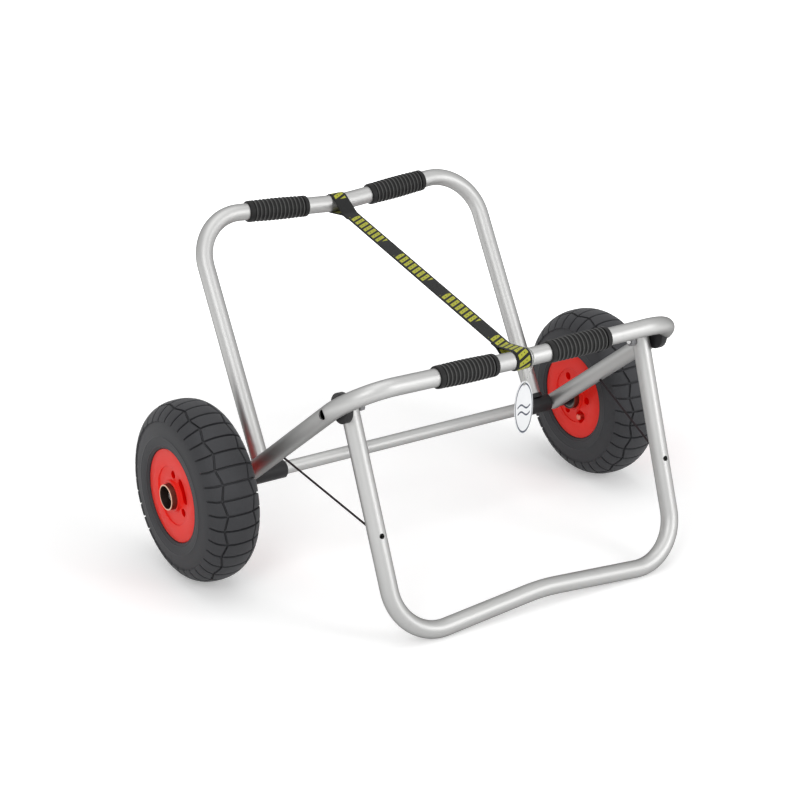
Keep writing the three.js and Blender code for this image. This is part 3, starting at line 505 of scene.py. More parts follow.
def satin_aluminium():
    """Matt-anodised tube: an even blasted grain, faint drawing lines and a little handling wear."""
    finish = Finish("satin_aluminium", Metallic=1.0, Specular_Tint=(0.08, 0.08, 0.08))
    grain = finish.noise(1400.0, 3.0, 0.6)
    cloud = finish.noise(9.0, 3.0)
    scuff = finish.noise(60.0, 6.0, 0.7).ramp(0.62, 0.72)
    tone = finish.colour_mix(cloud, (0.41, 0.41, 0.405), (0.47, 0.47, 0.465))
    finish.paint(scuff * 0.25, tone, (0.33, 0.33, 0.325))
    finish.roughen(grain, 0.42, 0.54)
    finish.bump(grain, 0.12, 0.0004)
    return finish.material


def steel(name, dark, light, smoothest, roughest):
    """Steel whose tone and gloss drift a little from place to place."""
    finish = Finish(name, Metallic=1.0)
    finish.paint(finish.noise(120.0, 3.0), dark, light)
    finish.roughen(finish.noise(900.0), smoothest, roughest)
    return finish.material


def from_axle(finish):
    """How far a point lies from the wheels' axis, which a wheel's own turning leaves as it is."""
    _, y, z = finish.place().parts()
    return ((y - float(AXLE[1])) ** 2.0 + (z - float(AXLE[2])) ** 2.0).root()


def warm_steel():
    """The hub tube: dark warm-brown steel whose outer end is worn to a bright bronze ring. Its bore is
    painted near-black and less metallic, a painted shade for the dark deep inside the tube.
    """
    finish = Finish("warm_steel")
    cloud = finish.noise(160.0, 3.0)
    x, _, _ = finish.place().parts()
    rim = (abs(x) - HALF_TRACK).ramp(HUB_TUBE_END - 0.8 * MM, HUB_TUBE_END - 0.5 * MM)
    rim = rim * from_axle(finish).ramp(BEARING_RADIUS + 0.5 * MM, BEARING_RADIUS + 0.8 * MM)
    bronze = finish.colour_mix(cloud, (0.60, 0.33, 0.23), (0.78, 0.50, 0.37))
    # Painted shade: the bore, inside the outer skin, is painted near-black.
    skin = from_axle(finish).ramp(HUB_TUBE_RADIUS - 1.0 * MM, HUB_TUBE_RADIUS - 0.4 * MM)
    dark = finish.colour_mix(skin, (0.035, 0.020, 0.016), (0.17, 0.07, 0.05))
    finish.paint(rim, dark, bronze)
    finish.set("Metallic", finish.value_mix(rim.most(skin), 0.6, 1.0))
    finish.roughen(finish.noise(900.0), 0.3, 0.42)
    return finish.material


def bearing_steel():
    """Two races painted a dark steel, a painted shade for the deep hub bore that they sit in, with a black
    rubber seal between them.
    """
    finish = Finish("bearing_steel")
    out = from_axle(finish)
    inner_race = SPINDLE_RADIUS + GAP + BEARING_RACE
    outer_race = BEARING_RADIUS - BEARING_RACE
    edge = 0.2 * MM
    seal = out.band(inner_race - edge, inner_race, outer_race, outer_race + edge)
    cloud = finish.noise(120.0, 3.0)
    # The races' dark tone is painted shade for the deep bore.
    race = finish.colour_mix(cloud, (0.11, 0.105, 0.10), (0.16, 0.155, 0.15))
    finish.paint(seal, race, (0.01, 0.01, 0.01))
    finish.set("Metallic", 1.0 - seal)
    finish.roughen(seal, 0.3, 0.6)
    return finish.material


def moulded_black():
    """Black injection-moulded plastic with a fine spark-eroded grain."""
    finish = Finish("moulded_black", Roughness=0.5, Specular_IOR_Level=0.3)
    grain = finish.noise(2200.0, 2.0)
    finish.paint(finish.noise(40.0), (0.008, 0.008, 0.009), (0.014, 0.014, 0.015))
    finish.bump(grain, 0.2, 0.0003)
    return finish.material


def grip_rubber():
    """Foam-soft black rubber with a mottled tone; its ribs' tops are painted lighter as a painted highlight,
    and the grooves between them painted near-black as painted shade.
    """
    finish = Finish("grip_rubber", Specular_IOR_Level=0.3)
    mottle = finish.noise(70.0, 4.0, 0.6)
    grain = finish.noise(1800.0, 3.0)
    _, crest, _ = finish.map_uv().parts()
    # Painted highlight on the ribs' tops, which are lighter, and painted shade in the grooves, which are
    # near-black.
    top = finish.colour_mix(mottle, (0.045, 0.045, 0.044), (0.085, 0.085, 0.083))
    finish.paint(crest.ramp(0.45, 1.0), (0.004, 0.004, 0.004), top)
    finish.roughen(mottle, 0.5, 0.68)
    finish.bump(grain, 0.25, 0.0003)
    return finish.material


def tyre_rubber():
    """Grey-black tyre rubber with a faint bloom and a fine mould grain."""
    finish = Finish("tyre_rubber", Specular_IOR_Level=0.3)
    bloom = finish.noise(26.0, 4.0, 0.6)
    grain = finish.noise(1500.0, 3.0)
    finish.paint(bloom, (0.026, 0.0265, 0.029), (0.048, 0.0485, 0.053))
    finish.roughen(bloom, 0.54, 0.70)
    finish.bump(grain, 0.3, 0.0003)
    return finish.material


def rim_red():
    """Red polypropylene with faint flow marks and a soft orange peel. It lets a little light through; nearer
    the wheel's middle than the web's face the red is painted darker as painted shade and given a deep-red
    emission, a painted glow that stands in for light let through."""
    depth = {"Subsurface_Weight": 0.5, "Subsurface_Scale": 6 * MM, "Subsurface_Radius": (1.0, 0.08, 0.05)}
    finish = Finish("rim_red", Specular_IOR_Level=0.16, Emission_Strength=1.0, **depth)
    flow = finish.noise(35.0, 3.0, 0.55)
    peel = finish.noise(500.0, 2.0)
    x, _, _ = finish.place().parts()
    web_face = RIM_FACE - DISC_STEP_DEPTH
    # Nearer the middle than the web's face: a darker red as painted shade, and an emitted red as a painted
    # glow.
    face_outside_painted_shade = abs(abs(x) - HALF_TRACK).ramp(web_face - 0.9 * MM, web_face - 0.3 * MM)
    red = finish.colour_mix(flow, (0.91, 0.024, 0.015), (0.97, 0.032, 0.021))
    finish.paint(face_outside_painted_shade, (0.42, 0.002, 0.001), red)
    finish.set("Emission Color", finish.colour_mix(face_outside_painted_shade, (0.20, 0.0, 0.0), (0.0, 0.0, 0.0)))
    finish.roughen(flow, 0.32, 0.44)
    finish.bump(peel, 0.12, 0.0004)
    return finish.material


def cord_braid():
    """Thin black braided cord: two sets of strands that cross at a slant."""
    finish = Finish("cord_braid", Roughness=0.8, Specular_IOR_Level=0.15)
    along, turn, _ = finish.map_uv().parts()
    lay = along * 2600.0
    twist = turn * 12.566
    strand = (lay + twist).wave().most((lay - twist).wave())
    finish.paint(strand, (0.006, 0.005, 0.006), (0.032, 0.022, 0.025))
    finish.bump(strand, 0.6, 0.0003)
    return finish.material


def woven_webbing():
    """Black webbing with a rib weave; its yellow-green marks are groups of slanted bars, woven in. The map
    runs in metres, along the strap and across it from one edge to the other."""
    finish = Finish("woven_webbing", Sheen_Weight=0.08, Sheen_Roughness=0.5, Specular_IOR_Level=0.2)
    along, across, _ = finish.map_uv().parts()
    weave = (along * 3900.0).wave() * 0.6 + (across * 5200.0).wave() * 0.4
    group_pitch = 121 * MM
    group_share = 0.66
    first_group = 148 * MM
    bar_pitch = 11 * MM
    in_group = ((along + 4 * group_pitch - first_group) / group_pitch).fraction()
    slanted = ((along + across * 0.45) / bar_pitch).fraction()
    group = in_group.band(0.0, 0.008, group_share - 0.008, group_share)
    span = float(np.linalg.norm(FRONT_MIDDLE - REAR_MIDDLE))
    group = group.most(along.ramp(span + 80 * MM, span + 81 * MM))
    bars = slanted.band(0.10, 0.14, 0.72, 0.76)
    height = abs(across - WEBBING_WIDTH / 2)
    band = 1.0 - height.ramp(8.6 * MM, 9.0 * MM)
    notch = 1.0 - abs(height - 3.0 * MM).ramp(0.5 * MM, 0.9 * MM)
    notch = notch * (1.0 - abs(slanted - 0.43).ramp(0.06, 0.09))
    mark = group * bars * band * (1.0 - notch)
    thread = finish.noise(1500.0, 2.0)
    black = finish.colour_mix(weave, (0.004, 0.004, 0.004), (0.016, 0.017, 0.017))
    yellow = finish.colour_mix(thread, (0.36, 0.36, 0.025), (0.58, 0.59, 0.07))
    finish.paint(mark * (weave * 0.3 + 0.7), black, yellow)
    finish.roughen(weave, 0.62, 0.85)
    finish.bump(weave, 0.5, 0.0004)
    return finish.material


def tag_card():
    """A white plastic tag with a dark line near its edge and two plain waves."""
    finish = Finish("tag_card", Roughness=0.3, Coat_Weight=0.3)
    x, _, z = finish.place().parts()
    across = (x - float(TAG_CENTRE[0])) / (TAG_WIDTH / 2)
    upward = (z - float(TAG_CENTRE[2])) / (TAG_HEIGHT / 2)
    ring = (across * across + upward * upward).root()
    border = ring.band(0.86, 0.88, 0.93, 0.95)
    wave = (across * 5.2).sine() * 0.07
    waves = 1.0 - (abs(abs(upward + wave + 0.08) - 0.13)).ramp(0.028, 0.04)
    waves = waves * (1.0 - ring.ramp(0.68, 0.7))
    ink = border.most(waves)
    paper = finish.colour_mix(finish.noise(90.0), (0.80, 0.81, 0.83), (0.86, 0.87, 0.88))
    finish.paint(ink, paper, (0.035, 0.045, 0.075))
    return finish.material


def clear_nylon():
    """A thin translucent nylon loop."""
    finish = Finish("clear_nylon", Roughness=0.25, Transmission_Weight=0.5)
    finish.paint(finish.noise(400.0), (0.62, 0.64, 0.60), (0.74, 0.75, 0.72))
    return finish.material


# Sizes of the smaller pieces
GRIP_LENGTH = 98 * MM
GRIP_RADIUS = 15.6 * MM
GRIP_BULGE = 1.0 * MM
GRIP_RIBS = 13
GRIP_RIB_DEPTH = 1.9 * MM
GRIP_COLLAR = 7 * MM
REAR_GRIP_PLACE = 103.5 * MM
FRONT_GRIP_PLACE = 93.5 * MM
WEBBING_WIDTH = 25 * MM
WEBBING_THICKNESS = 1.6 * MM
STRAP_PLACE = -2 * MM
TAG_WIDTH = 31 * MM
TAG_HEIGHT = 78 * MM
TAG_THICKNESS = 1 * MM
TAG_LOW, TAG_HIGH = (np.array(corner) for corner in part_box("swing_tag"))
TAG_CENTRE = (TAG_LOW + TAG_HIGH) / 2

# Finishes, each with the slot that it fills
ALUMINIUM = ("tube_aluminium", satin_aluminium())
BRIGHT = "bright_steel"
STEEL = (BRIGHT, steel("bright_steel", (0.56, 0.56, 0.555), (0.66, 0.66, 0.655), 0.2, 0.36))
HUB_STEEL = (BRIGHT, warm_steel())
BEARING_STEEL = (BRIGHT, bearing_steel())
DULL_STEEL = (BRIGHT, steel("dull_steel", (0.13, 0.13, 0.135), (0.20, 0.20, 0.205), 0.4, 0.5))
# The valve's cap is steel painted a pinkish red: a painted reflection of the red rim that it stands in
VALVE_RED_REFLECTION = (BRIGHT, steel("valve_metal", (0.62, 0.15, 0.11), (0.72, 0.20, 0.15), 0.35, 0.45))
BLACK_PLASTIC = ("black_plastic", moulded_black())
GRIP = ("grip_rubber", grip_rubber())
TUBE_RUBBER = ("tube_rubber", GRIP[1])
TYRE = ("tyre_rubber", tyre_rubber())
RED_PLASTIC = ("red_plastic", rim_red())
BRAID = ("cord", cord_braid())
WEBBING = ("webbing", woven_webbing())
TAG_CARD = ("tag_plastic", tag_card())
NYLON = ("clear_nylon", clear_nylon())


# Frame tubes


def half_width_at(reach):
    """The stand's half width at a reach along its legs."""
    return STAND_TOP_HALF_WIDTH - STAND_SPREAD * reach


ACCESS_RADIUS = 7 * MM
BOLT_RADIUS = 4 * MM
STAND_HOLE_RADIUS = 3.8 * MM
STAND_HOLE_REACH = 173 * MM
CORD_RADIUS = 1.5 * MM
CORD_LEG_REACH = 125 * MM
CORD_STAND_REACH = 170 * MM
CUT = 20 * MM


def cord_ends(sign):
    start = front.at(sign * FRONT_HALF_WIDTH, CORD_LEG_REACH)
    return start, stand.at(sign * half_width_at(CORD_STAND_REACH), CORD_STAND_REACH)


def add_hoops():
    """Three hoops; the front one's and the stand's legs have holes for bolts, spindles, cords and tools."""
    front_cuts = []
    stand_cuts = []
    ahead = -CUT * stand.normal * np.sign(stand.normal[1])
    for _, sign in BOTH_SIDES:
        out = sign * CUT * X_AXIS
        leg = front.at(sign * FRONT_HALF_WIDTH, PIVOT_REACH)
        foot = front.at(sign * FRONT_HALF_WIDTH, 0)
        top = stand.at(sign * STAND_TOP_HALF_WIDTH, 0)
        hole = stand.at(sign * half_width_at(STAND_HOLE_REACH), STAND_HOLE_REACH)
        cord = (CORD_RADIUS + 2 * GAP, *cord_ends(sign))
        front_cuts.append((ACCESS_RADIUS, leg, leg + out))
        front_cuts.append((BOLT_RADIUS + GAP, leg - out, leg))
        front_cuts.append((SPINDLE_RADIUS + GAP, foot - out, foot + out))
        front_cuts.append(cord)
        stand_cuts.append((BOLT_RADIUS + GAP, top - out, top + out))
        stand_cuts.append((STAND_HOLE_RADIUS, hole, hole + ahead))
        stand_cuts.append(cord)
    rows = (
        ("rear", "main_frame", rear, ()),
        ("front", "front_frame", front, front_cuts),
        ("stand", "stand", stand, stand_cuts),
    )
    for name, body, hoop, cuts in rows:
        tube = hollow_tube(f"{name}_hoop_tube", hoop, round_ends=bool(cuts))
        if cuts:
            combined(tube, *[rod(*cut) for cut in cuts])
        dress(tube, body, ALUMINIUM)


# Axle


AXLE_TUBE_RADIUS = 9.5 * MM
SLEEVE_RADIUS = 13.5 * MM
SLEEVE_INNER = 206 * MM
SLEEVE_OUTER = FRONT_HALF_WIDTH - TUBE_RADIUS - GAP
SLEEVE_CHAMFER = 2.5 * MM
COLLAR_SPIGOT = 28 * MM
SPACER_START = FRONT_HALF_WIDTH + TUBE_RADIUS + GAP
SPACER_LENGTH = 13.4 * MM
SPACER_RADIUS = 11 * MM
RIVET_REACH = 33 * MM
RIVET_SHANK = 2.4 * MM
RIVET_HEAD = 4.8 * MM
RIVET_EDGE = 0.5 * MM
RIVET_DOME = 1.5 * MM


def ring_outline(start, end, inner, outer, edge):
    """A ring's section with rounded edges."""
    return rounded([(start, inner), (end, inner), (end, outer), (start, outer)], edge)


def add_axle():
    bore = SPINDLE_RADIUS + GAP
    outline = ring_outline(-SLEEVE_OUTER + GAP, SLEEVE_OUTER - GAP, bore, AXLE_TUBE_RADIUS, 0.3 * MM)
    tube = turned("axle_tube_bar", outline, AXLE, sides=TUBE_SIDES)
    dress(tube, "main_frame", ALUMINIUM)
    spacer = ring_outline(SPACER_START, SPACER_START + SPACER_LENGTH, bore, SPACER_RADIUS, 0.5 * MM)
    for side, sign in BOTH_SIDES:
        add_sleeve(side, sign)
        piece = turned(f"wheel_spacer_{side}_ring", spacer, AXLE, sign * X_AXIS, TUBE_SIDES)
        dress(piece, "main_frame", BLACK_PLASTIC)
        add_rivet(side, sign)


def add_sleeve(side, sign):
    """A barrel on the axle tube, joined to the rear leg's collar and to the spigot inside the leg."""
    seat = AXLE_TUBE_RADIUS + GAP
    barrel = [(SLEEVE_INNER, seat), (SLEEVE_OUTER, seat), (SLEEVE_OUTER, SLEEVE_RADIUS)]
    barrel += [(SLEEVE_INNER + SLEEVE_CHAMFER, SLEEVE_RADIUS), (SLEEVE_INNER, SLEEVE_RADIUS - SLEEVE_CHAMFER)]
    barrel = rounded(barrel, 0.7 * MM)
    piece = turned(f"axle_sleeve_{side}_body", barrel, AXLE, sign * X_AXIS, TUBE_SIDES)
    start = AXLE_TUBE_RADIUS + 1 * MM
    spigot = TUBE_BORE - GAP
    top = COLLAR_HEIGHT + COLLAR_SPIGOT
    collar = [(start, 0), (start, SLEEVE_RADIUS), (COLLAR_HEIGHT, SLEEVE_RADIUS)]
    collar = rounded(collar + [(COLLAR_HEIGHT, spigot), (top, spigot), (top, 0)], 0.6 * MM, closed=False)
    upright = turned("collar", collar, rear.at(sign * REAR_HALF_WIDTH, 0), rear.leg, TUBE_SIDES)
    combined(piece, upright, operation="UNION")
    dress(piece, "main_frame", BLACK_PLASTIC)


def add_rivet(side, sign):
    """A domed rivet head at the back of the rear leg, with its shank."""
    place = rear.at(sign * REAR_HALF_WIDTH, RIVET_REACH)
    out = rear.normal * np.sign(rear.normal[1])
    head = TUBE_RADIUS + GAP
    base = head + RIVET_EDGE
    shank = 4.5 * MM
    outline = [(shank, 0), (shank, RIVET_SHANK), (head, RIVET_SHANK), (head, RIVET_HEAD), (base, RIVET_HEAD)]
    dome = on_circle(np.linspace(0, math.pi / 2, 8)[1:-1])[:, ::-1] * (RIVET_DOME, RIVET_HEAD) + (base, 0)
    outline = np.concatenate([outline, dome, [(base + RIVET_DOME, 0)]])
    piece = turned(f"leg_rivet_{side}_head", outline, place, out)
    dress(piece, "main_frame", STEEL)


# Grips


def grip_outline():
    """A barrel with smooth end collars and thirteen rounded ribs: its radius is a crown over the length, less
    a groove between ribs whose walls are steep sines. Each point's height on a rib comes too, from 0 to 1."""
    half = GRIP_LENGTH / 2
    along = np.linspace(-half, half, 40 * GRIP_RIBS + 1)
    crown = GRIP_RADIUS + GRIP_BULGE * np.cos(math.pi * along / GRIP_LENGTH)
    ribbed = half - GRIP_COLLAR
    wave = np.cos(2 * math.pi * ((along + ribbed) / (2 * ribbed) * GRIP_RIBS - 0.5))
    steepness = 3.2
    groove = 0.5 - 0.5 * np.tanh(steepness * (wave - 0.45)) / math.tanh(steepness)
    groove = np.where(np.abs(along) < ribbed, np.clip(groove, 0, 1), 0)
    edge = np.clip((half - np.abs(along)) / (2.2 * MM), 0, 1)
    radius = crown - GRIP_RIB_DEPTH * groove - 1.6 * MM * (1 - np.sqrt(1 - (1 - edge) ** 2))
    crest = np.where(np.abs(along) < ribbed, 1 - groove, 0.4)
    inner = TUBE_RADIUS + 0.15 * MM
    outline = np.concatenate([[(-half, inner)], np.stack([along, radius], axis=1), [(half, inner)]])
    return outline, np.concatenate([[0], crest, [0]])


def add_grips():
    outline, crest = grip_outline()
    uv = np.stack([outline[:, 0], crest], axis=-1)[:, None, :].repeat(GRIP_SIDES, axis=1)
    rows = (("rear", rear, REAR_GRIP_PLACE, "main_frame"), ("front", front, FRONT_GRIP_PLACE, "front_frame"))
    for prefix, hoop, place, body in rows:
        slope = math.atan(hoop.dip / hoop.half_width)
        for side, sign in BOTH_SIDES:
            centre = hoop.at(sign * place, hoop.reach - hoop.dip + hoop.dip * place / hoop.half_width)
            axis = math.cos(slope) * X_AXIS + sign * math.sin(slope) * hoop.leg
            points = turned_points(outline, centre, axis, GRIP_SIDES)
            piece = mesh_piece(f"{prefix}_grip_{side}_sleeve", points, uv=uv)
            dress(piece, body, GRIP)


# Stand pivots


PIVOT_DISC_RADIUS = 21 * MM
PIVOT_DISC_WIDTH = 10 * MM
PIVOT_DISC_RISE = 13 * MM
NUT_FLATS = 13 * MM
NUT_HEIGHT = 7.5 * MM
BOLT_HEAD_RADIUS = 6 * MM
BOLT_HEAD_HEIGHT = 4.5 * MM
BOLT_CHAMFER = 2 * MM
SOCKET_RADIUS = 2.4 * MM
SOCKET_DEPTH = 2 * MM


def add_pivots():
    """A disc between each front leg and stand leg, hollowed to the leg's tube, with its bolt and nut."""
    inner = STAND_TOP_HALF_WIDTH + TUBE_RADIUS + 0.5 * MM
    outer = inner + PIVOT_DISC_WIDTH
    outline = [(inner, 0), (inner, PIVOT_DISC_RADIUS), (outer, PIVOT_DISC_RADIUS), (outer, 0)]
    outline = rounded(outline, 1.2 * MM, closed=False)
    origin = PIVOT * (0, 1, 1)
    for side, sign in BOTH_SIDES:
        outward = sign * X_AXIS
        raised = origin + PIVOT_DISC_RISE * front.leg
        piece = turned(f"pivot_disc_{side}_washer", outline, raised, outward, ROUND_SIDES)
        tube = ring_points(*front.path, front.normal, TUBE_RADIUS + 0.1 * MM)
        leg = mesh_piece("leg_cutter", capped(front.path[0], tube), wrap_rows=False)
        combined(piece, leg, rod(BOLT_RADIUS + GAP, origin, origin + 2 * outer * outward))
        dress(piece, "front_frame", BLACK_PLASTIC)
        add_pivot_bolt(side, outward, origin)


def hexagon(name, across_flats, start, end, bore, centre, axis, chamfer=0.8 * MM):
    """A six-sided nut or bolt head whose corners are chamfered by a cone, with a bore or a closed middle."""
    angle = full_turn(48)
    corner_turn = (angle + math.pi / 6) % (math.pi / 3) - math.pi / 6
    flat = across_flats / 2
    full = flat / np.cos(corner_turn)
    edge = np.minimum(full, flat + 0.25 * MM)
    hole = bore + 0 * full
    rows = ((start, hole), (start, edge), (start + chamfer, full))
    rows += ((end - chamfer, full), (end, edge), (end, hole))
    ring = around(angle[:, None], Y_AXIS, np.cross(axis, Y_AXIS))
    points = [centre + along * axis + out[:, None] * ring for along, out in rows]
    return mesh_piece(name, np.array(points), wrap_rows=bore > 0)


def add_pivot_bolt(side, outward, origin):
    """A hexagon nut inside the stand's leg, and a round-headed bolt with a socket as long as its solid."""
    nut_end = STAND_TOP_HALF_WIDTH - TUBE_RADIUS - GAP
    name = f"pivot_nut_{side}"
    nut = hexagon(f"{name}_hex", NUT_FLATS, nut_end - NUT_HEIGHT, nut_end, BOLT_RADIUS, origin, outward)
    dress(nut, "front_frame", DULL_STEEL)
    start, end = sorted(abs(corner[0]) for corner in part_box(f"pivot_bolt_{side}"))
    head = end - BOLT_HEAD_HEIGHT
    outline = [(start, 0), (start, BOLT_RADIUS - GAP), (head, BOLT_RADIUS - GAP), (head, BOLT_HEAD_RADIUS)]
    outline += [(end - BOLT_CHAMFER, BOLT_HEAD_RADIUS), (end, 3.8 * MM), (end, SOCKET_RADIUS)]
    outline += [(end - SOCKET_DEPTH, SOCKET_RADIUS), (end - SOCKET_DEPTH, 0)]
    outline = rounded(outline, 0.5 * MM, closed=False)
    bolt = turned(f"pivot_bolt_{side}_shank", outline, origin, outward, TUBE_SIDES)
    dress(bolt, "front_frame", STEEL)


# Check cords


def add_cords():
    """A round cord from the front leg to the stand leg, with a ball knot at each end."""
    knot = 3.4 * MM
    sides = 16
    for side, sign in BOTH_SIDES:
        start, end = cord_ends(sign)
        way = unit(end - start)
        length = np.linalg.norm(end - start)
        along = np.linspace(0, length, 140)
        near_end = np.minimum(along, length - along)
        radius = np.maximum(CORD_RADIUS, np.sqrt(np.clip(1 - (near_end / knot) ** 2, 0, 1)) * knot)
        outline = np.stack([along, radius], axis=1)
        outline = np.concatenate([[(-0.2 * MM, 0)], outline, [(length + 0.2 * MM, 0)]])
        points = turned_points(outline, start, way, sides)
        uv = broadcast_uv(outline[:, :1], np.linspace(0, 1, sides), points.shape[:2])
        piece = mesh_piece(f"check_cord_{side}_line", points, wrap_rows=False, uv=uv)
        dress(piece, None, BRAID)
        first = start + way * TUBE_RADIUS
        last = end - way * TUBE_RADIUS
        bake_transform(piece)


# Strap


STRAP_SEAM = 38 * MM
STRAP_TAIL = 50 * MM
STRAP_LOOP_END = 52 * MM
STRAP_CLEARANCE = 0.5 * MM
STRAP_SEAM_SLOPE = 4 * MM


def strap_path():
    """One piece of webbing: a tail below the rear seam, round the rear bar, along the span, round the front
    bar and back to a tail below the front seam."""
    way = unit(FRONT_MIDDLE - REAR_MIDDLE)
    up = np.cross(X_AXIS, way)
    up *= np.sign(up[2])
    half = WEBBING_THICKNESS / 2
    radius = TUBE_RADIUS + STRAP_CLEARANCE + half
    touch = math.acos((radius - half) / (STRAP_SEAM - STRAP_SEAM_SLOPE))
    circle = radius * on_circle(np.linspace(touch, 2 * math.pi - touch, 48))
    lower = np.array([(STRAP_SEAM, -half), (STRAP_TAIL, -half)])
    upper = np.array([(STRAP_TAIL, half), (STRAP_SEAM, half)])
    loop = np.concatenate([upper, circle, lower])
    rear_points = REAR_MIDDLE + loop[::-1, :1] * way + loop[::-1, 1:] * up
    front_points = FRONT_MIDDLE - loop[:, :1] * way + loop[:, 1:] * up
    return np.concatenate([rear_points, front_points])


def resampled(points, step):
    """Points at an even step along a line, with each point's length from the start."""
    lengths = np.concatenate([[0], np.cumsum(np.linalg.norm(np.diff(points, axis=0), axis=1))])
    count = int(lengths[-1] / step)
    even = np.linspace(0, lengths[-1], count + 1)
    line = np.stack([np.interp(even, lengths, points[:, i]) for i in range(3)], axis=1)
    return line, even


def smoothed(line, rounds):
    """Each point drawn half way to the mean of its neighbours, again and again; the ends stay."""
    for _ in range(rounds):
        line[1:-1] = 0.5 * line[1:-1] + 0.25 * (line[:-2] + line[2:])
    return line


def broadcast_uv(along, across, shape):
    """A map of lengths along and places across, for each point of a grid."""
    return np.stack([np.broadcast_to(value, shape) for value in (along, across)], axis=-1)


def add_strap():
    """A flat band with rounded edges, swept along the strap's path."""
    line, lengths = resampled(strap_path(), step=1.2 * MM)
    line = smoothed(line, rounds=4) + STRAP_PLACE * X_AXIS
    normals = np.cross(X_AXIS, unit(np.gradient(line, axis=0)))[:, None, :]
    half_width = WEBBING_WIDTH / 2
    across = np.linspace(-1, 1, 17)
    swell = WEBBING_THICKNESS / 2 * np.clip(1 - np.abs(across) ** 8, 0, 1) ** 0.5
    section = np.stack([across, swell], axis=1)
    section = np.concatenate([section, (section * (1, -1))[-2:0:-1]])
    offsets = section[None, :, :1] * half_width * X_AXIS + section[None, :, 1:] * normals
    points = capped(line, line[:, None, :] + offsets)
    along = np.concatenate([lengths[:1], lengths, lengths[-1:]])
    uv = broadcast_uv(along[:, None], (section[None, :, 0] + 1) * half_width, points.shape[:2])
    piece = mesh_piece("tension_strap_webbing", points, wrap_rows=False, uv=uv)
    dress(piece, None, WEBBING)
    way = unit(FRONT_MIDDLE - REAR_MIDDLE) * STRAP_LOOP_END
    first = REAR_MIDDLE + way
    last = FRONT_MIDDLE - way
    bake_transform(piece)


# Hang tag


TAG_HOLE_DROP = 5 * MM
TAG_HOLE_RADIUS = 2 * MM
TAG_STRING_PLACE = 13.5 * MM
TAG_STRING_RADIUS = 0.55 * MM
TAG_STRING_STANDOFF = 1.1 * MM
TAG_STRING_SAG = 0.2 * MM
TAG_STRING_BOW = 1.15
TAG_STRING_WRAP = 0.25


def add_tag():
    """An oval plate with a rounded edge and a hole: rings that grow from the hole to an ellipse, and back."""
    hole = np.array([TAG_CENTRE[0], TAG_CENTRE[1], TAG_HIGH[2] - TAG_HOLE_DROP])
    oval = on_circle(full_turn(ROUND_SIDES)) * (TAG_WIDTH / 2, TAG_HEIGHT / 2)
    outer = TAG_CENTRE + oval[:, :1] * X_AXIS + oval[:, 1:] * Z_AXIS
    way = outer - hole
    heading = on_circle(np.unwrap(np.arctan2(way[:, 2], way[:, 0]))) * TAG_HOLE_RADIUS
    inner = hole + heading[:, :1] * X_AXIS + heading[:, 1:] * Z_AXIS
    half = TAG_THICKNESS / 2
    rows = [(0, -0.6), (0.02, -1), (0.5, -1), (0.985, -1), (1, -0.5)]
    rows += [(share, -side) for share, side in rows[::-1]]
    points = [inner * (1 - share) + outer * share + side * half * Y_AXIS for share, side in rows]
    piece = mesh_piece("swing_tag_card", np.array(points))
    dress(piece, "tag", TAG_CARD)
    add_tag_string(hole)


def add_tag_string(hole):
    """A thin loop over the front bar, from one face of the tag to the other and through its hole."""
    bar = np.array([TAG_STRING_PLACE, FRONT_MIDDLE[1], FRONT_MIDDLE[2]])
    reach = TUBE_RADIUS + 2 * GAP + TAG_STRING_RADIUS
    turn = np.linspace(-TAG_STRING_WRAP, math.pi + TAG_STRING_WRAP, 40)[:, None]
    over = bar + reach * (np.sin(turn) * Z_AXIS - np.cos(turn) * Y_AXIS)
    inward = np.linspace(0, 1, 24)[:, None] ** TAG_STRING_BOW
    face = TAG_STRING_STANDOFF * Y_AXIS
    down_front = over[0] + (hole - face - over[0]) * inward
    down_back = over[-1] + (hole + face - over[-1]) * inward
    through = hole + np.linspace(1, -1, 6)[:, None] * face - TAG_STRING_SAG * Z_AXIS
    line = np.concatenate([over, down_back[1:], through, down_front[::-1]])
    line = resampled(line, 0.8 * MM)[0][:-1]
    tangents = unit(np.roll(line, -1, axis=0) - np.roll(line, 1, axis=0))
    sideways = unit(np.cross(tangents, X_AXIS))
    upward = np.cross(sideways, tangents)
    angle = full_turn(10)[None, :, None]
    ring = around(angle, sideways[:, None], upward[:, None])
    piece = mesh_piece("tag_string_loop", line[:, None, :] + TAG_STRING_RADIUS * ring)
    dress(piece, "tag", NYLON)


# Wheels

FLANGE_RADIUS = 67 * MM
FLANGE_THICKNESS = 3.5 * MM
FLANGE_GAP = 0.6 * MM
RIM_WALL = 3 * MM
SEAT_RADIUS = 53 * MM
DISC_STEP_RADIUS = 42.2 * MM
HUB_BOSS_RADIUS = 22.5 * MM
HUB_BOSS_END = 40.5 * MM
TYRE_HALF_WIDTH = 43 * MM
TYRE_WIDEST_RADIUS = 90 * MM
TYRE_SQUARENESS = 2.3
TREAD_PITCHES = 36
TREAD_PHASE = math.radians(5)
SHOULDER_SLANT = 0.12
GROOVE_DEPTH = 3.2 * MM
GROOVE_HALF_WIDTH = 1.35 * MM
GROOVE_WALL = 0.7 * MM
GROOVE_FLOOR = GROOVE_HALF_WIDTH - GROOVE_WALL / 2
PITCH_LENGTH = 2 * math.pi * WHEEL_RADIUS / TREAD_PITCHES
ZIGZAG_PLACE = 22.2 * MM
ZIGZAG_HALF_WIDTH = 0.8 * MM
ZIGZAG_SWING = 2.0 * MM
ZIGZAG_FADE = 0.16
BLOCK_CORNER_DRAW = 0.022
BLOCK_CORNER_FADE = 0.07
BLOCK_CORNER_REACH = 4.4 * MM
WORN_EDGE_DEPTH = 0.35 * MM
WORN_EDGE_REACH = 3.6 * MM
BLOCK_END_SHARE = 0.76
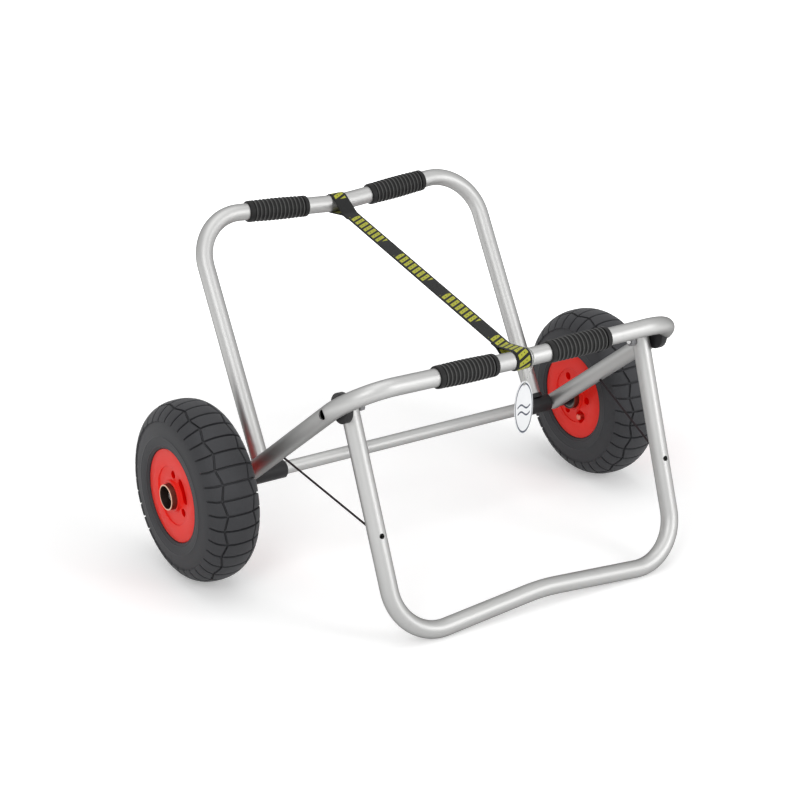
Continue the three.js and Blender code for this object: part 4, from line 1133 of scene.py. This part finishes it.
BLOCK_END_STEP = 2.3 * MM
BLOCK_END_WALL = 0.014
SIDEWALL_RINGS = ((1.16, 0.6 * MM), (1.62, 0.9 * MM))
RIM_HOLE_RADIUS = 6 * MM
RIM_HOLE_CIRCLE = 31.46 * MM
VALVE_POCKET_RADIUS = 10 * MM
VALVE_CIRCLE = 34.32 * MM
KIDNEY_CIRCLE = 34.12 * MM
KIDNEY_HALF_WIDTH = 7.58 * MM
KIDNEY_HALF_SPREAD = math.radians(19)
CUT_DEPTH = 12 * MM
CUT_RISE = 6 * MM
WASHER_START = 33.3 * MM
WASHER_THICKNESS = 1.5 * MM
WASHER_RADIUS = 11 * MM
HEAD_FLATS = 13 * MM
HEAD_HEIGHT = 5 * MM
STEM_RADIUS = 4 * MM
STEM_PLACE = 14 * MM
STEM_ROOT = 62 * MM
STEM_END = 33 * MM
STEM_BEND = 9 * MM
CAP_START = 30.8 * MM
CAP_END = 40.5 * MM
CAP_RADIUS = 4.9 * MM
CAP_CHAMFER = 1.2 * MM


def tyre_profile(share):
    """The outer profile: across and out for a share from 0 in the middle of the tread to 1 at the widest
    point, and on to 2 at the bead. A superellipse to the widest point, then an arc in to the flange."""
    power = 2 / TYRE_SQUARENESS
    upper = np.clip(share, 0, 1) * math.pi / 2
    across = TYRE_HALF_WIDTH * np.sin(upper) ** power
    out = TYRE_WIDEST_RADIUS + (WHEEL_RADIUS - TYRE_WIDEST_RADIUS) * np.maximum(np.cos(upper), 0) ** power
    lower = np.clip(share - 1, 0, 1) * math.pi / 2
    end = RIM_FACE + GAP
    lip = FLANGE_RADIUS + FLANGE_GAP
    across_low = end + (TYRE_HALF_WIDTH - end) * np.cos(lower)
    out_low = lip + (TYRE_WIDEST_RADIUS - lip) * (1 - np.sin(lower))
    return np.where(share > 1, across_low, across), np.where(share > 1, out_low, out)


def share_at(across):
    """The profile share whose place across the tyre is the given one, on the tread."""
    ratio = np.clip(np.asarray(across) / TYRE_HALF_WIDTH, 0, 1)
    return np.arcsin(ratio ** (TYRE_SQUARENESS / 2)) / (math.pi / 2)


def smooth_step(value, low, high):
    share = np.clip((value - low) / (high - low), 0, 1)
    return share * share * (3 - 2 * share)


def around_zigzag(reach):
    """The profile shares on either side of the zigzag groove's middle."""
    return share_at(ZIGZAG_PLACE + np.array([-1, 1]) * reach)


def tread_lines():
    """The tyre's grid lines. Across: shares of the profile, close together at the zigzag groove's walls and
    at the blocks' ends. Round: places within each pitch, close together at the cross groove's walls."""
    zigzag = around_zigzag(ZIGZAG_HALF_WIDTH)
    walls = around_zigzag(ZIGZAG_HALF_WIDTH + GROOVE_WALL)
    below_blocks = BLOCK_END_SHARE + np.array([BLOCK_END_WALL, 0.04])
    one_side = [np.linspace(0, walls[0], 9), zigzag, np.linspace(walls[1], BLOCK_END_SHARE, 10), below_blocks]
    one_side += [np.linspace(BLOCK_END_SHARE + 0.09, 1, 5)[:-1], np.linspace(1, 2, 44)]
    one_side = np.concatenate(one_side)
    places = [0, GROOVE_FLOOR, GROOVE_FLOOR + GROOVE_WALL, 2.6 * MM, 3.6 * MM, 6 * MM]
    near = np.array(places) / PITCH_LENGTH
    in_pitch = np.concatenate([near, [0.4, 0.6], 1 - near[:0:-1]])
    pitches = (np.arange(TREAD_PITCHES)[:, None] + in_pitch).reshape(-1)
    return np.concatenate([-one_side[:0:-1], one_side]), pitches, zigzag


def bell(value, middle, width):
    """1 at the middle, fading to either side."""
    return np.exp(-(((value - middle) / width) ** 2))


def from_cross_groove(pitch):
    return np.minimum(pitch % 1, 1 - pitch % 1) * PITCH_LENGTH


def tyre_relief(size, pitch, zigzag):
    """How far the skin lies off the plain profile: blocks between cross grooves and two zigzag grooves, a
    step down at the blocks' ends, and two rings on the sidewall."""
    from_groove = from_cross_groove(pitch)
    cross = 1 - smooth_step(from_groove, GROOVE_FLOOR, GROOVE_FLOOR + GROOVE_WALL)
    lengthwise = ((size >= zigzag[0] - 1e-4) & (size <= zigzag[1] + 1e-4)).astype(float)
    shoulder = smooth_step(size, 0.6, BLOCK_END_SHARE)
    depth = GROOVE_DEPTH * (1 - shoulder) + BLOCK_END_STEP * shoulder
    in_tread = 1 - smooth_step(size, BLOCK_END_SHARE, BLOCK_END_SHARE + BLOCK_END_WALL)
    sunk = depth * np.maximum(cross, lengthwise) * in_tread
    step = BLOCK_END_STEP * (1 - in_tread) * (1 - smooth_step(size, 0.8, 1.3))
    worn_edge = WORN_EDGE_DEPTH * (1 - smooth_step(from_groove, 0, WORN_EDGE_REACH)) * in_tread
    rings = sum(height * bell(size, place, 0.03) for place, height in SIDEWALL_RINGS)
    return rings - sunk - step - worn_edge


def tyre_surface(centre):
    """A closed ring of tyre: the relief stands on the outer profile, along its normal, and the inside is a
    plain wall. The grid's lines swing with the zigzag, draw in at the blocks' corners and slant on the
    shoulders."""
    shares, pitches, zigzag = tread_lines()
    share, pitch = np.meshgrid(shares, pitches, indexing="ij")
    side = np.sign(share)
    size = np.abs(share)
    triangle = np.abs(((pitch / 2) % 1) - 0.5) * 4 - 1
    swing = triangle * ZIGZAG_SWING / TYRE_HALF_WIDTH * bell(size, zigzag.mean(), ZIGZAG_FADE)
    corner = 1 - smooth_step(from_cross_groove(pitch), 0, BLOCK_CORNER_REACH)
    draw = BLOCK_CORNER_DRAW * corner * bell(size, BLOCK_END_SHARE, BLOCK_CORNER_FADE)
    moved = size + (swing * smooth_step(size, 0, 0.12) - draw) * (size > 0)
    across, out = tyre_profile(moved)
    step = 1e-3
    across_before, out_before = tyre_profile(np.maximum(moved - step, 0))
    across_after, out_after = tyre_profile(np.minimum(moved + step, 2))
    normal = np.stack([out_before - out_after, across_after - across_before])
    normal /= np.hypot(*normal)
    lift = tyre_relief(size, pitch, zigzag)
    slant = SHOULDER_SLANT * smooth_step(size, 0.45, BLOCK_END_SHARE) * side
    angle = (pitch + slant) * 2 * math.pi / TREAD_PITCHES + TREAD_PHASE
    outer = ring_of(side * (across + normal[0] * lift), out + normal[1] * lift, angle, centre)
    bead = RIM_FACE - FLANGE_THICKNESS - GAP
    seat = SEAT_RADIUS + GAP
    wall = [(bead, FLANGE_RADIUS + FLANGE_GAP), (bead, seat), (bead - 7.5 * MM, seat)]
    wall += [(bead - 5 * MM, FLANGE_RADIUS), (38 * MM, 90 * MM), (24 * MM, 114 * MM), (0, 120 * MM)]
    wall = rounded(wall, 1.5 * MM, closed=False)
    wall = np.concatenate([wall, (wall * (-1, 1))[::-1][1:]])
    angles = np.broadcast_to(angle[-1:, :], (len(wall), angle.shape[1]))
    return np.concatenate([outer, ring_of(wall[:, :1], wall[:, 1:], angles, centre)])


def ring_of(across, out, angle, centre):
    """Points at places across, out and round from a wheel's centre."""
    x = np.broadcast_to(across, angle.shape)
    r = np.broadcast_to(out, angle.shape)
    return np.asarray(centre) + np.stack([x, r * np.cos(angle), r * np.sin(angle)], axis=-1)


def rim_outline():
    """One half of the rim from the middle plane outwards, with a dish, a step line and a rolled flange."""
    web = RIM_FACE - DISC_STEP_DEPTH
    back = RIM_FACE - FLANGE_THICKNESS
    web_back = web - FLANGE_THICKNESS
    seat = HUB_TUBE_RADIUS + GAP
    start = GAP / 2
    inside = SEAT_RADIUS - RIM_WALL
    outline = [(start, seat), (HUB_BOSS_END, seat), (HUB_BOSS_END, HUB_BOSS_RADIUS)]
    outline += [(web, HUB_BOSS_RADIUS + 0.6 * MM), (web, DISC_STEP_RADIUS), (RIM_FACE, DISC_STEP_RADIUS)]
    outline += [(RIM_FACE, FLANGE_RADIUS), (back, FLANGE_RADIUS), (back, SEAT_RADIUS), (start, SEAT_RADIUS)]
    outline += [(start, inside), (web_back, inside), (web_back, HUB_BOSS_RADIUS), (start, HUB_BOSS_RADIUS)]
    return rounded(outline, 0.8 * MM)


def kidney_points(centre, outward, angle):
    """A slot along an arc: two arcs joined by round ends, from inside the web to past the face."""
    spread = np.linspace(-KIDNEY_HALF_SPREAD, KIDNEY_HALF_SPREAD, 20)
    tip = KIDNEY_CIRCLE * on_circle(np.array([KIDNEY_HALF_SPREAD]))
    cap = tip + KIDNEY_HALF_WIDTH * on_circle(np.linspace(0, math.pi, 12)[1:-1] + KIDNEY_HALF_SPREAD)
    outer_arc = (KIDNEY_CIRCLE + KIDNEY_HALF_WIDTH) * on_circle(spread)
    inner_arc = (KIDNEY_CIRCLE - KIDNEY_HALF_WIDTH) * on_circle(spread[::-1])
    outline = np.concatenate([outer_arc, cap, inner_arc, (cap * (1, -1))[::-1]])
    turn = on_circle(np.array([angle, angle + math.pi / 2]))
    outline = outline @ turn
    flat = centre + outline[:, :1] * Y_AXIS + outline[:, 1:] * Z_AXIS
    middle = np.broadcast_to(flat.mean(axis=0), flat.shape)
    start, end = (RIM_FACE - CUT_DEPTH) * outward, (RIM_FACE + CUT_RISE) * outward
    return np.stack([middle + start, flat + start, flat + end, middle + end])


def wheel_cutter(radius, circle, angle, centre, way):
    """A rod that cuts a round hole in a rim's face."""
    start = centre + circle * around(angle, Y_AXIS, Z_AXIS) + (RIM_FACE - CUT_DEPTH) * way
    return rod(radius, start, start + (CUT_DEPTH + CUT_RISE) * way)


def add_wheel(side, sign, degrees):
    centre = joint_point(f"{side}_wheel_spin")
    outward = sign * X_AXIS
    body = f"{side}_wheel"
    angle = math.radians(degrees)
    tyre = mesh_piece(f"tyre_{side}_tread", tyre_surface(centre))
    dress(tyre, body, TYRE)
    outline = rim_outline()
    for half, way in (("outer", outward), ("inner", -outward)):
        rim = turned(f"rim_{half}_{side}_shell", outline, centre, way, ROUND_SIDES)
        holes = [angle + i * math.pi / 3 for i in (1, 3, 5)]
        cutters = [wheel_cutter(RIM_HOLE_RADIUS, RIM_HOLE_CIRCLE, hole, centre, way) for hole in holes]
        if half == "outer":
            cutters.append(mesh_piece("kidney", kidney_points(centre, way, angle), wrap_rows=False))
        else:
            cutters.append(wheel_cutter(VALVE_POCKET_RADIUS, VALVE_CIRCLE, angle, centre, way))
        combined(rim, *cutters)
        dress(rim, body, RED_PLASTIC)
    add_hub(side, centre, outward, body)
    add_valve(side, centre, outward, body, angle)


def add_hub(side, centre, outward, body):
    """The hub tube, a bearing in each end of it, and the washer and bolt that hold the wheel."""
    tube = ring_outline(-HUB_TUBE_END, HUB_TUBE_END, BEARING_RADIUS + GAP, HUB_TUBE_RADIUS, 0.6 * MM)
    piece = turned(f"hub_tube_{side}_barrel", tube, centre, outward, ROUND_SIDES)
    dress(piece, body, HUB_STEEL)
    for place in ("inner", "outer"):
        node = f"bearing_{place}_{side}"
        start, end = sorted((corner[0] - centre[0]) * outward[0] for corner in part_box(node))
        piece = turned(f"{node}_race", bearing_outline(start, end), centre, outward, ROUND_SIDES)
        dress(piece, body, BEARING_STEEL)
    washer_end = WASHER_START + WASHER_THICKNESS
    washer = ring_outline(WASHER_START, washer_end, BOLT_RADIUS + GAP, WASHER_RADIUS, 0.3 * MM)
    piece = turned(f"wheel_washer_{side}_disc", washer, centre, outward, TUBE_SIDES)
    dress(piece, "main_frame", STEEL)
    start = washer_end + GAP
    name = f"wheel_bolt_{side}"
    head = hexagon(f"{name}_head", HEAD_FLATS, start, start + HEAD_HEIGHT, 0, centre, outward, 0.7 * MM)
    dress(head, "main_frame", STEEL)


def bearing_outline(start, end):
    """A bearing's section: two races with a shield sunk between them on either face."""
    bore = SPINDLE_RADIUS + GAP
    inner = bore + BEARING_RACE
    outer = BEARING_RADIUS - BEARING_RACE
    slope = 0.3 * MM
    shield = 0.8 * MM
    sunk = end - shield
    near = [(end, bore), (end, inner), (sunk, inner + slope), (sunk, outer - slope), (end, outer)]
    far = [(start + end - along, out) for along, out in near[::-1]]
    return rounded([far[-1], *near, (end, BEARING_RADIUS), (start, BEARING_RADIUS), *far[:-1]], 0.25 * MM)


def add_valve(side, centre, outward, body, angle):
    """The stem bends from the tube to the rim's inner face, where its cap stands."""
    radial = around(angle, Y_AXIS, Z_AXIS)
    places = ((STEM_PLACE, STEM_ROOT), (STEM_PLACE, VALVE_CIRCLE), (STEM_END, VALVE_CIRCLE))
    corners = [centre - along * outward + out * radial for along, out in places]
    points, tangents = bent_path(corners, (STEM_BEND,))
    rings = ring_points(points, tangents, np.cross(outward, radial), STEM_RADIUS, SMALL_SIDES)
    stem = mesh_piece(f"valve_stem_{side}_rubber", capped(points, rings), wrap_rows=False)
    dress(stem, body, TUBE_RUBBER)
    bore = STEM_RADIUS + GAP
    cap = [(CAP_START, bore), (CAP_START, CAP_RADIUS), (CAP_END - CAP_CHAMFER, CAP_RADIUS)]
    cap = rounded(cap + [(CAP_END, CAP_RADIUS - CAP_CHAMFER), (CAP_END, 0)], 0.6 * MM, closed=False)
    inside = CAP_START + 4 * MM
    cap = np.concatenate([[(inside, 0), (inside, bore)], cap])
    piece = turned(f"valve_cap_{side}_top", cap, centre + VALVE_CIRCLE * radial, -outward)
    dress(piece, body, VALVE_RED_REFLECTION)


# The pieces that stay as solids, inside the others


def finish_hidden_nodes():
    """A finish for the solids that stay inside the others."""
    finishes = {
        "front_leg_plug": ALUMINIUM,
        "stand_leg_plug": BLACK_PLASTIC,
        "spindle": STEEL,
        "inner_tube": TUBE_RUBBER,
        "bearing_spacer": STEEL,
    }
    for side, _ in BOTH_SIDES:
        for node, (_, material) in finishes.items():
            materials = frame["nodes"][f"{node}_{side}"].data.materials
            materials.clear()
            materials.append(material)


# Camera, floor and light

PHOTO_SIZE = 800
FOCAL_PIXELS = 2275.652
SENSOR = 36.0
CAMERA_FROM_AXLE = np.array([-1.7104, -2.5940, 1.2803])
TARGET_FROM_AXLE = np.array([0.0802, 0.1351, -0.0018])
NEAR_FLOOR_WHITE = 0.30
WORLD_LIGHT = 0.5


def add_camera():
    data = bpy.data.cameras.new("camera")
    data.sensor_width = SENSOR
    data.lens = FOCAL_PIXELS / PHOTO_SIZE * SENSOR
    data.clip_end = 60
    camera = bpy.data.objects.new("camera", data)
    camera.location = AXLE + CAMERA_FROM_AXLE
    way = Vector(TARGET_FROM_AXLE - CAMERA_FROM_AXLE)
    camera.rotation_euler = way.to_track_quat("-Z", "Y").to_euler()
    bpy.context.scene.collection.objects.link(camera)
    bpy.context.scene.camera = camera


def seen(finish):
    """1 where a ray from the camera, off gloss or through glass meets the surface, and 0 for other rays."""
    path = finish.node("LightPath", {})
    rays = [Wire(finish, path.outputs[f"Is {kind} Ray"]) for kind in ("Camera", "Glossy", "Transmission")]
    return rays[0].most(rays[1]).most(rays[2])


def add_floor():
    """A pale floor that fades into the white backdrop; a disc from the middle outwards."""
    radii = np.array([0, 0.3, 0.6, 1, 2, 4, 8, 16, 30])[:, None, None]
    angle = full_turn(64)[None, :, None]
    floor = mesh_piece("floor", radii * around(angle, X_AXIS, Y_AXIS), wrap_rows=False)
    if floor.data.polygons[0].normal.z < 0:
        floor.data.flip_normals()
    finish = Finish("floor_white", Roughness=0.9, Base_Color=(0.86, 0.86, 0.86), Emission_Strength=1.0)
    x, y, _ = finish.place().parts()
    far = (x * x + y * y).root().ramp(0.5, 1.3)
    white = seen(finish) * finish.value_mix(far, NEAR_FLOOR_WHITE, 1.0)
    finish.set("Emission Color", finish.colour_mix(white, (0.0, 0.0, 0.0), (1.0, 1.0, 1.0)))
    floor.data.materials.append(finish.material)


def add_light(name, place, target, width, height, power):
    data = bpy.data.lights.new(name, "AREA")
    data.shape = "RECTANGLE"
    data.size = width
    data.size_y = height
    data.energy = power
    lamp = bpy.data.objects.new(name, data)
    lamp.location = place
    lamp.rotation_euler = (Vector(target) - Vector(place)).to_track_quat("-Z", "Y").to_euler()
    bpy.context.scene.collection.objects.link(lamp)


def add_world():
    """White where it is seen, and a softer grey as light."""
    backdrop = Finish("studio", "worlds", "BACKGROUND", Color=(1.0, 1.0, 1.0))
    backdrop.set("Strength", backdrop.value_mix(seen(backdrop), WORLD_LIGHT, 1.0))
    bpy.context.scene.world = backdrop.material


def add_lights():
    target = tuple(AXLE + (0, 0, 0.05))
    add_light("key", (-2.2, -1.9, 2.3), target, 1.1, 1.8, 28)
    add_light("fill", (1.3, -2.8, 1.4), target, 1.0, 1.8, 30)
    add_light("top", (0.0, -0.2, 2.9), target, 2.2, 2.2, 20)


add_camera()
add_hoops()
add_axle()
add_grips()
add_pivots()
add_cords()
add_strap()
add_tag()
add_wheel("left", -1, 150.5)
add_wheel("right", 1, -121)
finish_hidden_nodes()
add_floor()
add_world()
add_lights()
bpy.context.scene.view_settings.view_transform = "Standard"
